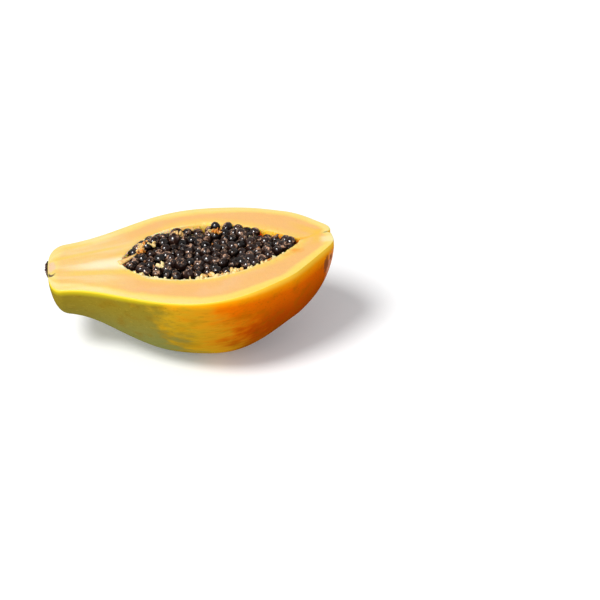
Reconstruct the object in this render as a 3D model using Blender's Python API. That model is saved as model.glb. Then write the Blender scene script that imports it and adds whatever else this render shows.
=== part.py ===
"""A halved papaya with its seeds, lying on its rounded side with the cut face up.

The fruit is modelled whole in its own frame, as it grew: x runs along the core
from the stem end to the blossom end, y across the cut, z up out of the cut face,
which is the plane z = 0. A knife then halves it, the seed cavity is hollowed out,
the heap of seeds and the remains of the stalk are set in, and the half is laid
down in its resting pose.

Units: metres, +Z up. Run with: blender --background --python part.py
"""

import math
import random

import bmesh
import bpy
from mathutils import Matrix, Vector

MM = 0.001

# The whole half: its length, and how far the blossom end rises where it rests.
LENGTH = 175 * MM
REST_PITCH = math.radians(7.4)

# Half-widths of the cut face and the depth under it, in mm, at nine stations
# spaced evenly from the stem end to the blossom end.
NEAR_WIDTHS = (26, 25.5, 37.5, 50, 58.5, 59.5, 51, 30.5, 18)
FAR_WIDTHS = (28, 30, 40, 52.5, 57, 54.5, 49.5, 37.5, 31.5)
DEPTHS = (26, 28.5, 44.5, 57.5, 60.5, 63, 55, 42, 38)

# How the two ends round off: over what length, and how bluntly.
STEM_ROUND = 13 * MM
STEM_BLUNTNESS = 2.6
BLOSSOM_ROUND = 28 * MM
BLOSSOM_BLUNTNESS = 2.0

# The seed cavity, a spindle that drifts sideways towards the blossom end.
CAVITY_START = 47.2 * MM
CAVITY_END = 156.5 * MM
CAVITY_DRIFT = 3.7 * MM
CAVITY_DEPTH = 30 * MM
CAVITY_BLUNTNESS = 2.3
# Each side: its half-width, and how fast it opens and closes along the cavity.
NEAR_LIP = (29.7 * MM, 0.70, 0.81)
FAR_LIP = (36.5 * MM, 0.73, 1.14)
CAVITY_FLOOR = (CAVITY_DEPTH, 0.50, 0.60)

# The flat bruise that the half lies on, and the clearance between pieces.
FLAT_DEPTH = 0.7 * MM
GAP = 0.3 * MM

# The woody disc where the stalk broke off, halved by the same cut.
STALK_RADIUS = 9 * MM
STALK_INSIDE = 3.5 * MM
STALK_PROUD = 1 * MM
STALK_OFF_CENTRE = 1.5 * MM

# The seeds: a layer of them side by side, over a bed of the cavity's form.
SEED_RADIUS = 3.1 * MM
SEED_SPREAD = 0.3 * MM
SEED_LENGTHENING = 1.12
SEED_SPACING = 6.3 * MM
SEED_WALL_GAP = 0.7 * MM
SEED_STEM_TIP = 7.5 * MM
SEED_BLOSSOM_TIP = 8.5 * MM
SEED_JITTER = 0.25
SEED_LEVEL = -1.0 * MM
SEED_FAR_SINK = 4.0 * MM
SEED_SINK_REACH = 30 * MM
SEED_UNEVENNESS = 1.1 * MM
CLUMP_PLACE = (107 * MM, 29 * MM)
CLUMP_REACH = 9 * MM
CLUMP_RISE = 4.0 * MM
BED_GAP = 1.0 * MM
BED_UNDER_SEEDS = 1.0 * MM
RELAX_ROUNDS = 60
RANDOM_SEED = 27

# How finely the solids are faceted, and how near their ends the rings start.
FRUIT_STATIONS = 40
FRUIT_SIDES = 52
FRUIT_TIP = 0.02 * MM
CAVITY_STATIONS = 24
CAVITY_SIDES = 32
CAVITY_TIP = 0.3 * MM
BED_STATIONS = 16
BED_SIDES = 20
BED_TIP = 3.5 * MM
SEED_SIDES = 6
SEED_RINGS = 4
DISC_SIDES = 40


def smooth_profile(along, controls):
    """A uniform cubic B-spline over evenly spaced controls; along runs from 0 to 1."""
    ends = (2 * controls[0] - controls[1], *controls, 2 * controls[-1] - controls[-2])
    place = min(max(along, 0.0), 1.0) * (len(controls) - 1)
    first = min(int(place), len(controls) - 2)
    t = place - first
    weights = (
        (1 - t) ** 3,
        3 * t**3 - 6 * t**2 + 4,
        -3 * t**3 + 3 * t**2 + 3 * t + 1,
        t**3,
    )
    return sum(w * ends[first + i] for i, w in enumerate(weights)) / 6


def rounding(distance, reach, bluntness):
    """How far an end has opened, from 0 at its tip to 1 at its reach."""
    inward = min(max(1 - distance / reach, 0.0), 1.0)
    return max(1 - inward**bluntness, 0.0) ** (1 / bluntness)


def fruit_extent(x, controls):
    """The fruit's half-width or depth at x."""
    ends = rounding(x, STEM_ROUND, STEM_BLUNTNESS)
    ends *= rounding(LENGTH - x, BLOSSOM_ROUND, BLOSSOM_BLUNTNESS)
    return smooth_profile(x / LENGTH, controls) * MM * ends


def cavity_share(x):
    """How far along the cavity x lies, from 0 at its stem tip to 1 at its blossom tip."""
    return min(max((x - CAVITY_START) / (CAVITY_END - CAVITY_START), 0.0), 1.0)


def cavity_extent(x, side):
    """The cavity's half-width or depth at x, for one (size, opening, closing)."""
    size, opening, closing = side
    widest = opening / (opening + closing)
    share = cavity_share(x)
    rise = (share / widest) ** opening
    return size * rise * ((1 - share) / (1 - widest)) ** closing


def cavity_middle(x):
    """The y of the cavity's middle line at x."""
    return CAVITY_DRIFT * cavity_share(x) ** 3


def cavity_wall(x, z, side):
    """The cavity's half-width at x, at the height z below the cut face."""
    floor = cavity_extent(x, CAVITY_FLOOR)
    sunk = min(max(-z / max(floor, MM), 0.0), 1.0)
    opening = (1 - sunk**CAVITY_BLUNTNESS) ** (1 / CAVITY_BLUNTNESS)
    return cavity_extent(x, side) * opening


def signed_power(value, exponent):
    """value to a power, keeping its sign."""
    return math.copysign(abs(value) ** exponent, value)


def eased(start, end, count):
    """count places from start to end, closer together towards both."""
    middle = (start + end) / 2
    half = (end - start) / 2
    return [middle - half * math.cos(math.pi * i / (count - 1)) for i in range(count)]


def loft(name, stations, sides, ring_point, collection):
    """A closed skin through rings of points.

    ring_point(x, angle) gives one point; the angle turns from +Y over +Z. No point
    lies at the height of the cut face, so that the knife passes between them.
    """
    mesh = bpy.data.meshes.new(name)
    work = bmesh.new()
    rings = []
    for x in stations:
        angles = [2 * math.pi * (i + 0.5) / sides for i in range(sides)]
        rings.append([work.verts.new(ring_point(x, angle)) for angle in angles])
    for lower, upper in zip(rings, rings[1:]):
        for i in range(sides):
            after = (i + 1) % sides
            work.faces.new((lower[i], lower[after], upper[after], upper[i]))
    work.faces.new(rings[0])
    work.faces.new(rings[-1])
    bmesh.ops.recalc_face_normals(work, faces=work.faces)
    work.to_mesh(mesh)
    work.free()
    piece = bpy.data.objects.new(name, mesh)
    collection.objects.link(piece)
    return piece


def box(name, low, high, collection):
    """A box between two corners."""
    mesh = bpy.data.meshes.new(name)
    work = bmesh.new()
    bmesh.ops.create_cube(work, size=1)
    size = Vector(high) - Vector(low)
    bmesh.ops.scale(work, vec=size, verts=work.verts)
    bmesh.ops.translate(work, vec=Vector(low) + size / 2, verts=work.verts)
    work.to_mesh(mesh)
    work.free()
    piece = bpy.data.objects.new(name, mesh)
    collection.objects.link(piece)
    return piece


def disc(name, radius, start, end, collection):
    """A short cylinder along x, from start to end, on the stalk's line."""
    mesh = bpy.data.meshes.new(name)
    work = bmesh.new()
    bmesh.ops.create_cone(
        work,
        cap_ends=True,
        segments=DISC_SIDES,
        radius1=radius,
        radius2=radius,
        depth=end - start,
    )
    turn = Matrix.Rotation(math.radians(90), 4, "Y")
    place = Matrix.Translation(((start + end) / 2, STALK_OFF_CENTRE, 0))
    bmesh.ops.transform(work, matrix=place @ turn, verts=work.verts)
    work.to_mesh(mesh)
    work.free()
    piece = bpy.data.objects.new(name, mesh)
    collection.objects.link(piece)
    return piece


def hide_cutter(piece):
    """Marks a piece as a tool that isn't part of the fruit."""
    piece.hide_render = True
    piece.display_type = "WIRE"


def cut(piece, cutter):
    """Takes the cutter's space out of the piece."""
    step = piece.modifiers.new("cut_" + cutter.name, "BOOLEAN")
    step.operation = "DIFFERENCE"
    step.solver = "EXACT"
    step.object = cutter


def material(name, colour, roughness):
    """A plain dielectric finish."""
    finish = bpy.data.materials.new(name)
    finish.use_nodes = True
    shader = finish.node_tree.nodes["Principled BSDF"]
    shader.inputs["Base Color"].default_value = (*colour, 1.0)
    shader.inputs["Roughness"].default_value = roughness
    shader.inputs["Metallic"].default_value = 0.0
    return finish


def fruit_point(x, angle):
    """A point of the whole fruit's skin."""
    across = math.cos(angle)
    widths = FAR_WIDTHS if across > 0 else NEAR_WIDTHS
    y = fruit_extent(x, widths) * across
    return (x, y, fruit_extent(x, DEPTHS) * math.sin(angle))


def cavity_point(x, angle):
    """A point of the wall of the seed cavity, closed over at the top like a pod."""
    across = math.cos(angle)
    side = FAR_LIP if across > 0 else NEAR_LIP
    power = 2 / CAVITY_BLUNTNESS
    y = cavity_extent(x, side) * signed_power(across, power)
    z = cavity_extent(x, CAVITY_FLOOR) * signed_power(math.sin(angle), power)
    return (x, cavity_middle(x) + y, z)


def bed_top(x, y):
    """The height of the bed's top, a little under the seeds' centres."""
    return seed_level(x, y) - BED_UNDER_SEEDS


def bed_edge(x, side, outward):
    """The (y, z) of the bed's top edge on one side: outward is +1 far, -1 near."""
    middle = cavity_middle(x)
    y = middle
    for _ in range(3):
        wall = cavity_wall(x, bed_top(x, y), side)
        y = middle + outward * max(wall - BED_GAP - GAP, 0.5 * MM)
    return y, bed_top(x, y)


def bed_point(x, angle):
    """A point of the bed under the seeds: the cavity's form, drawn in from the wall."""
    far_y, far_z = bed_edge(x, FAR_LIP, 1)
    near_y, near_z = bed_edge(x, NEAR_LIP, -1)
    if angle < math.pi:
        y = far_y + (near_y - far_y) * angle / math.pi
        return (x, y, bed_top(x, y))
    middle = cavity_middle(x)
    floor = BED_GAP + GAP - cavity_extent(x, CAVITY_FLOOR)
    edge_y, edge_z = (near_y, near_z) if angle < 1.5 * math.pi else (far_y, far_z)
    y = middle + (edge_y - middle) * abs(math.cos(angle))
    return (x, y, edge_z + (floor - edge_z) * abs(math.sin(angle)))


def make_fruit(parts, cutters):
    """The flesh with its skin, halved, hollowed and flattened where it rests."""
    stations = eased(FRUIT_TIP, LENGTH - FRUIT_TIP, FRUIT_STATIONS)
    fruit = loft("fruit_half", stations, FRUIT_SIDES, fruit_point, parts)

    reach = 2 * LENGTH
    knife = box("knife", (-reach, -reach, 0), (reach, reach, reach), cutters)
    cut(fruit, knife)

    first, last = CAVITY_START + CAVITY_TIP, CAVITY_END - CAVITY_TIP
    stations = eased(first, last, CAVITY_STATIONS)
    cavity = loft("cavity", stations, CAVITY_SIDES, cavity_point, cutters)
    cut(fruit, cavity)

    socket_end = STALK_INSIDE + GAP
    socket = disc("socket", STALK_RADIUS + GAP, -LENGTH, socket_end, cutters)
    cut(fruit, socket)

    level = lowest_point() + FLAT_DEPTH
    ground = box("ground", (-reach, -reach, -reach), (reach, reach, level), cutters)
    ground.matrix_basis = resting_turn().inverted()
    cut(fruit, ground)

    for cutter in (knife, cavity, socket, ground):
        hide_cutter(cutter)
    return fruit


def resting_turn():
    """The turn from the fruit's own frame to the resting one: the blossom end rises."""
    return Matrix.Rotation(-REST_PITCH, 4, "Y")


def lowest_point():
    """The height of the keel's lowest point after the resting turn."""
    turn = resting_turn()
    steps = 400
    keel = [i * LENGTH / steps for i in range(1, steps)]
    return min((turn @ Vector((x, 0, -fruit_extent(x, DEPTHS)))).z for x in keel)


def make_stalk(parts, cutters):
    """The half disc of woody stalk left in the stem end."""
    stalk = disc("stalk_stub", STALK_RADIUS, -STALK_PROUD, STALK_INSIDE, parts)
    cut(stalk, cutters.objects["knife"])
    return stalk


def seed_level(x, y):
    """The height of a seed's centre: the heap sinks towards the far wall, but for one clump."""
    towards_wall = min(max(y / SEED_SINK_REACH, 0.0), 1.0)
    away = math.hypot(x - CLUMP_PLACE[0], y - CLUMP_PLACE[1]) / CLUMP_REACH
    clump = CLUMP_RISE * max(1 - away**2, 0.0)
    return SEED_LEVEL - SEED_FAR_SINK * towards_wall**1.5 + clump


def inner_edge(x, z, side, reach):
    """The half-width left at x for the middle of a seed that keeps reach off the wall."""
    step = 1 * MM
    slope = cavity_wall(x + step, z, side) - cavity_wall(x - step, z, side)
    return cavity_wall(x, z, side) - reach * math.hypot(1, slope / (2 * step))


def keep_inside(seed):
    """Moves a seed off the wall: seed is [x, y, unevenness, radius]."""
    reach = seed[3] * SEED_LENGTHENING + SEED_WALL_GAP
    first, last = CAVITY_START + SEED_STEM_TIP, CAVITY_END - SEED_BLOSSOM_TIP
    seed[0] = min(max(seed[0], first), last)
    x = seed[0]
    under = seed_level(x, seed[1]) + seed[2] - seed[3]
    middle = cavity_middle(x)
    highest = middle + inner_edge(x, under, FAR_LIP, reach)
    lowest = middle - inner_edge(x, under, NEAR_LIP, reach)
    if lowest > highest:
        lowest = highest = (lowest + highest) / 2
    seed[1] = min(max(seed[1], lowest), highest)


def push_apart(seeds):
    """One round of easing apart the seeds that stand too close."""
    for i, one in enumerate(seeds):
        for other in seeds[:i]:
            dx = one[0] - other[0]
            dy = one[1] - other[1]
            apart = math.hypot(dx, dy)
            if 0 < apart < SEED_SPACING:
                push = 0.5 * (SEED_SPACING - apart) / apart
                one[0] += dx * push
                one[1] += dy * push
                other[0] -= dx * push
                other[1] -= dy * push
    for seed in seeds:
        keep_inside(seed)


def seed_places():
    """Every seed of the top layer, as (x, y, z, radius).

    The seeds start on a jittered triangular grid over the cavity's mouth, and are
    then eased apart until they lie side by side.
    """
    draw = random.Random(RANDOM_SEED)
    seeds = []
    row_step = SEED_SPACING * math.sqrt(3) / 2
    rows = int((CAVITY_END - CAVITY_START) / row_step)
    for row in range(rows + 1):
        x = CAVITY_START + (row + 0.5) * row_step
        middle = cavity_middle(x)
        highest = middle + cavity_extent(x, FAR_LIP)
        y = middle - cavity_extent(x, NEAR_LIP) + SEED_SPACING * (0.5 + 0.5 * (row % 2))
        while y < highest - 0.4 * SEED_SPACING:
            jitter = [draw.uniform(-1, 1) * SEED_JITTER * SEED_SPACING for _ in range(2)]
            uneven = draw.uniform(-1, 1) * SEED_UNEVENNESS
            radius = SEED_RADIUS + draw.uniform(-1, 1) * SEED_SPREAD
            seeds.append([x + jitter[0], y + jitter[1], uneven, radius])
            y += SEED_SPACING
    for _ in range(RELAX_ROUNDS):
        push_apart(seeds)
    return [(x, y, seed_level(x, y) + uneven, r) for x, y, uneven, r in seeds]


def make_seed(index, place, draw, collection):
    """One faceted seed, turned at random."""
    x, y, z, radius = place
    mesh = bpy.data.meshes.new(f"seed_{index}")
    work = bmesh.new()
    bmesh.ops.create_uvsphere(
        work, u_segments=SEED_SIDES, v_segments=SEED_RINGS, radius=radius
    )
    bmesh.ops.scale(work, vec=(1, 1, SEED_LENGTHENING), verts=work.verts)
    tilt = Matrix.Rotation(draw.uniform(0, math.pi / 2), 4, "Y")
    heading = Matrix.Rotation(draw.uniform(0, 2 * math.pi), 4, "Z")
    place = Matrix.Translation((x, y, z))
    bmesh.ops.transform(work, matrix=place @ heading @ tilt, verts=work.verts)
    work.to_mesh(mesh)
    work.free()
    seed = bpy.data.objects.new(mesh.name, mesh)
    collection.objects.link(seed)
    return seed


def make_seed_heap(parts):
    """The seeds, fused to a bed of the cavity's own form that they stand out of."""
    stations = eased(CAVITY_START + BED_TIP, CAVITY_END - BED_TIP, BED_STATIONS)
    heap = loft("seed_heap", stations, BED_SIDES, bed_point, parts)

    loose = bpy.data.collections.new("loose_seeds")
    bpy.context.scene.collection.children.link(loose)
    draw = random.Random(RANDOM_SEED)
    for index, place in enumerate(seed_places()):
        make_seed(index, place, draw, loose)
    fuse = heap.modifiers.new("fuse_seeds", "BOOLEAN")
    fuse.operation = "UNION"
    fuse.solver = "EXACT"
    fuse.operand_type = "COLLECTION"
    fuse.collection = loose
    apply_modifiers(heap)
    for seed in list(loose.objects):
        bpy.data.objects.remove(seed, do_unlink=True)
    bpy.data.collections.remove(loose)
    return heap


def apply_modifiers(piece):
    """Turns a piece's modifiers into its own mesh."""
    graph = bpy.context.evaluated_depsgraph_get()
    mesh = bpy.data.meshes.new_from_object(piece.evaluated_get(graph))
    piece.modifiers.clear()
    piece.data = mesh


def shade(piece, finish, sharp_over):
    """Gives a piece its finish, smooth but for the edges sharper than an angle."""
    piece.data.materials.clear()
    piece.data.materials.append(finish)
    piece.data.shade_smooth()
    piece.data.set_sharp_from_angle(angle=math.radians(sharp_over))


def lay_down(pieces, cutters):
    """Turns everything into the resting pose and centres it on the ground.

    The pieces hang on one empty, so their own frame stays the fruit's.
    """
    rest = bpy.data.objects.new("papaya_rest", None)
    bpy.context.scene.collection.objects.link(rest)
    for piece in (*pieces, *cutters.objects):
        piece.parent = rest
    rest.matrix_basis = resting_turn()
    bpy.context.view_layer.update()
    low, high = world_box(pieces)
    rest.location = (-(low.x + high.x) / 2, -(low.y + high.y) / 2, -low.z)
    bpy.context.view_layer.update()


def world_box(pieces):
    """The lowest and highest corners round the finished pieces."""
    graph = bpy.context.evaluated_depsgraph_get()
    points = []
    for piece in pieces:
        solid = piece.evaluated_get(graph)
        points += [solid.matrix_world @ vertex.co for vertex in solid.data.vertices]
    low = Vector(min(point[axis] for point in points) for axis in range(3))
    high = Vector(max(point[axis] for point in points) for axis in range(3))
    return low, high


def clear_scene():
    """Removes what the startup file holds."""
    for old in list(bpy.data.objects):
        bpy.data.objects.remove(old, do_unlink=True)


def main():
    """Builds the halved papaya."""
    clear_scene()
    parts = bpy.data.collections.new("halved_papaya")
    cutters = bpy.data.collections.new("cutters")
    bpy.context.scene.collection.children.link(parts)
    bpy.context.scene.collection.children.link(cutters)

    fruit = make_fruit(parts, cutters)
    stalk = make_stalk(parts, cutters)
    heap = make_seed_heap(parts)
    apply_modifiers(fruit)
    apply_modifiers(stalk)

    shade(fruit, material("papaya_flesh", (0.90, 0.42, 0.14), 0.42), 40)
    shade(stalk, material("dry_stalk", (0.10, 0.06, 0.03), 0.85), 40)
    shade(heap, material("papaya_seeds", (0.02, 0.012, 0.009), 0.25), 50)
    lay_down((fruit, stalk, heap), cutters)


main()
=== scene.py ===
"""The looks of a halved papaya: its skin, cut flesh, seed cavity, seeds and stalk.

The CAD frame gives the place and the outer size. Every shape here is worked out in
the fruit's own frame, where x runs along the core from the stem end, y across the
cut and z up out of the cut face, and is then turned into the resting pose.
"""

from __future__ import annotations

import logging
import math
import random
from dataclasses import dataclass
from enum import Enum
from typing import Any, Sequence

import bmesh
import bpy
import numpy as np
from mathutils import Matrix, Vector

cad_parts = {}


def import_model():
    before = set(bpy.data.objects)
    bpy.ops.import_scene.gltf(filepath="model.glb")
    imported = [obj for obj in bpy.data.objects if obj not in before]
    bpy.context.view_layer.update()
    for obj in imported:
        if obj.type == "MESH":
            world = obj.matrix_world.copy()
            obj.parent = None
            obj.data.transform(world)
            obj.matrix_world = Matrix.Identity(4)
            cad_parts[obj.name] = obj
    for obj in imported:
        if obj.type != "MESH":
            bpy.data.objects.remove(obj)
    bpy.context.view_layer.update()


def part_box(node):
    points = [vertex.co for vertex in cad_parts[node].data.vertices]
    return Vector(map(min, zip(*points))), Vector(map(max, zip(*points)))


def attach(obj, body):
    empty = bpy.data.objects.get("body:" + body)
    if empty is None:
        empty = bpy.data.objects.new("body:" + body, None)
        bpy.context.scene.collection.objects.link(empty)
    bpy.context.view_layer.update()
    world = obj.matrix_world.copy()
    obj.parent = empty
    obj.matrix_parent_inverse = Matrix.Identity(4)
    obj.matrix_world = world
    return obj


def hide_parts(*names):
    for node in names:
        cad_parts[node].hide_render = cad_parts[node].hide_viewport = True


MM = 0.001
BODY = "root"
Pair = tuple[float, float]
Triple = tuple[float, float, float]
Colour = Triple

log = logging.getLogger("papaya")


class Zone(Enum):
    """The surfaces of the fruit half, in the order of its material slots."""

    SKIN = 0
    FLESH = 1
    LINING = 2


# The node graph helpers


class Num:
    """A number in a node graph, with the usual arithmetic written as operators."""

    def __init__(self, graph: "Graph", socket: Any) -> None:
        """Keeps the graph and the output socket that holds the number."""
        self.graph = graph
        self.socket = socket

    def _math(self, operation: str, *values: Any) -> "Num":
        """Adds a Math node and returns its result."""
        inputs = {i: value for i, value in enumerate(values)}
        node = self.graph.add("ShaderNodeMath", {"operation": operation}, inputs)
        return Num(self.graph, node.outputs[0])

    def __add__(self, other: Any) -> "Num":
        """self + other."""
        return self._math("ADD", self, other)

    def __sub__(self, other: Any) -> "Num":
        """self - other."""
        return self._math("SUBTRACT", self, other)

    def __rsub__(self, other: Any) -> "Num":
        """other - self."""
        return self._math("SUBTRACT", other, self)

    def __mul__(self, other: Any) -> "Num":
        """self * other."""
        return self._math("MULTIPLY", self, other)

    def __truediv__(self, other: Any) -> "Num":
        """self / other."""
        return self._math("DIVIDE", self, other)

    def __pow__(self, other: Any) -> "Num":
        """self ** other."""
        return self._math("POWER", self, other)

    def __neg__(self) -> "Num":
        """-self."""
        return self._math("MULTIPLY", self, -1.0)

    __radd__ = __add__
    __rmul__ = __mul__

    def least(self, other: Any) -> "Num":
        """The smaller of the two."""
        return self._math("MINIMUM", self, other)

    def most(self, other: Any) -> "Num":
        """The larger of the two."""
        return self._math("MAXIMUM", self, other)

    def size(self) -> "Num":
        """The number without its sign."""
        return self._math("ABSOLUTE", self)

    def under(self, other: Any) -> "Num":
        """1 where the number is the smaller, otherwise 0."""
        return self._math("LESS_THAN", self, other)

    def ramp(self, start: float, end: float) -> "Num":
        """A smooth step.

        Args:
            start: the number that gives 0.
            end: the number that gives 1; it may be the smaller.

        Returns:
            The step, from 0 to 1.
        """
        low, high = min(start, end), max(start, end)
        settings = {"interpolation_type": "SMOOTHSTEP"}
        inputs = {"Value": self, "From Min": low, "From Max": high}
        node = self.graph.add("ShaderNodeMapRange", settings, inputs)
        step = Num(self.graph, node.outputs[0])
        return step if end >= start else 1.0 - step


class Graph:
    """A shader or geometry node tree under construction."""

    def __init__(self, tree: bpy.types.NodeTree) -> None:
        """Starts from an existing tree, which may hold nodes already."""
        self.tree = tree

    def add(
        self,
        kind: str,
        settings: dict[str, Any] | None = None,
        inputs: dict[Any, Any] | None = None,
    ) -> bpy.types.Node:
        """Adds one node.

        Args:
            kind: the node's type.
            settings: its properties, set before its sockets; "stops" fills a ramp.
            inputs: socket name, index or identifier, to a value, a Num or a socket.

        Returns:
            The new node.
        """
        node = self.tree.nodes.new(kind)
        for name, value in (settings or {}).items():
            if name == "stops":
                self._fill_ramp(node.color_ramp, value)
            else:
                setattr(node, name, value)
        for key, value in (inputs or {}).items():
            self.link(value, self._socket(node, key))
        return node

    @staticmethod
    def _fill_ramp(ramp: Any, stops: Sequence[tuple[float, Colour]]) -> None:
        """Gives a colour ramp its stops.

        Args:
            ramp: the ramp.
            stops: each place with its colour.
        """
        while len(ramp.elements) > 1:
            ramp.elements.remove(ramp.elements[-1])
        ramp.elements[0].position = stops[0][0]
        ramp.elements[0].color = (*stops[0][1], 1.0)
        for place, colour in stops[1:]:
            ramp.elements.new(place).color = (*colour, 1.0)

    @staticmethod
    def _socket(node: bpy.types.Node, key: Any) -> Any:
        """Finds an input of a node.

        Args:
            node: the node.
            key: the input's index, identifier or name.

        Returns:
            The socket.
        """
        if isinstance(key, int):
            return node.inputs[key]
        for socket in node.inputs:
            if socket.identifier == key:
                return socket
        return node.inputs[key]

    def link(self, value: Any, socket: Any) -> None:
        """Feeds one input.

        Args:
            value: a Num, an output or a constant.
            socket: the input.
        """
        if isinstance(value, Num):
            value = value.socket
        if isinstance(value, bpy.types.NodeSocket):
            self.tree.links.new(value, socket)
        elif isinstance(value, tuple) and len(value) == 3 and socket.type == "RGBA":
            socket.default_value = (*value, 1.0)
        else:
            socket.default_value = value

    def object_place(self) -> Any:
        """The place in the object's own coordinates, in metres."""
        return self.add("ShaderNodeTexCoord").outputs["Object"]

    def attribute(self, name: str) -> Num:
        """A number stored on the mesh."""
        node = self.add("ShaderNodeAttribute", {"attribute_name": name})
        return Num(self, node.outputs["Fac"])

    def attribute_vector(self, name: str) -> Any:
        """A vector stored on the mesh."""
        node = self.add("ShaderNodeAttribute", {"attribute_name": name})
        return node.outputs["Vector"]

    def split(self, vector: Any) -> tuple[Num, Num, Num]:
        """The three parts of a vector."""
        node = self.add("ShaderNodeSeparateXYZ", None, {0: vector})
        return tuple(Num(self, output) for output in node.outputs)

    def join(self, x: Any, y: Any, z: Any) -> Any:
        """A vector from three numbers."""
        return self.add("ShaderNodeCombineXYZ", None, {0: x, 1: y, 2: z}).outputs[0]

    def scaled(self, vector: Any, factors: Triple) -> Any:
        """A vector with each part multiplied by its own factor."""
        settings = {"operation": "MULTIPLY"}
        return self.add("ShaderNodeVectorMath", settings, {0: vector, 1: factors}).outputs[0]

    def shifted(self, vector: Any, move: tuple[float, ...]) -> Any:
        """A vector with another added to it."""
        settings = {"operation": "ADD"}
        return self.add("ShaderNodeVectorMath", settings, {0: vector, 1: move}).outputs[0]

    def length(self, vector: Any) -> Num:
        """How long a vector is."""
        node = self.add("ShaderNodeVectorMath", {"operation": "LENGTH"}, {0: vector})
        return Num(self, node.outputs["Value"])

    def away(self, vector: Any, spot: Triple, factors: Triple) -> Num:
        """The distance from a spot, with each direction scaled by its own factor."""
        gap = self.shifted(vector, tuple(-part for part in spot))
        return self.length(self.scaled(gap, factors))

    def noise(self, vector: Any, scale: float, detail: float = 2.0) -> Num:
        """Fractal noise from 0 to 1."""
        inputs = {"Vector": vector, "Scale": scale, "Detail": detail}
        return Num(self, self.add("ShaderNodeTexNoise", None, inputs).outputs[0])

    def streaks(self, vector: Any, scales: Triple, detail: float) -> Num:
        """Fractal noise from 0 to 1, with its own scale along each direction."""
        return self.noise(self.scaled(vector, scales), 1.0, detail)

    def cells(self, vector: Any, scale: float) -> Num:
        """The distance to the nearest of many scattered spots."""
        inputs = {"Vector": vector, "Scale": scale}
        return Num(self, self.add("ShaderNodeTexVoronoi", None, inputs).outputs["Distance"])

    def blend(self, share: Any, one: Any, other: Any) -> Any:
        """Mixes two colours: share 0 gives one, 1 gives other."""
        inputs = {"Factor_Float": share, "A_Color": one, "B_Color": other}
        return self.add("ShaderNodeMix", {"data_type": "RGBA"}, inputs).outputs[2]

    def band(self, value: Num, stops: Sequence[tuple[float, Colour]]) -> Any:
        """Colours along a number, by a ramp."""
        node = self.add("ShaderNodeValToRGB", {"stops": stops}, {0: value})
        return node.outputs[0]

    def bump(self, height: Num, distance: float, strength: float = 1.0) -> Any:
        """A normal from a height in units of distance, in metres."""
        inputs = {"Height": height, "Distance": distance, "Strength": strength}
        return self.add("ShaderNodeBump", None, inputs).outputs[0]


# The finishes


@dataclass(frozen=True)
class Finish:
    """What every finish shares: a name and the constants of its shader."""

    name: str
    roughness: float = 0.4
    coat: float = 0.0
    coat_roughness: float = 0.08
    coat_ior: float = 1.5
    specular: float = 0.5
    inside_light: float = 0.0
    light_reach: Colour = (1.0, 0.45, 0.15)
    light_scale: float = 3 * MM

    def material(self) -> bpy.types.Material:
        """Makes the material, with its nodes.

        Returns:
            The new material.
        """
        made = bpy.data.materials.new(self.name)
        made.use_nodes = True
        shader = made.node_tree.nodes["Principled BSDF"]
        shader.inputs["Roughness"].default_value = self.roughness
        shader.inputs["Coat Weight"].default_value = self.coat
        shader.inputs["Coat Roughness"].default_value = self.coat_roughness
        shader.inputs["Coat IOR"].default_value = self.coat_ior
        shader.inputs["Subsurface Weight"].default_value = self.inside_light
        shader.inputs["Subsurface Radius"].default_value = self.light_reach
        shader.inputs["Subsurface Scale"].default_value = self.light_scale
        shader.inputs["Specular IOR Level"].default_value = self.specular
        self.dress(Graph(made.node_tree), shader)
        return made

    def dress(self, graph: Graph, shader: bpy.types.Node) -> None:
        """Adds the nodes that vary over the surface.

        Args:
            graph: the material's nodes.
            shader: its Principled BSDF.
        """
        raise NotImplementedError


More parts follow.
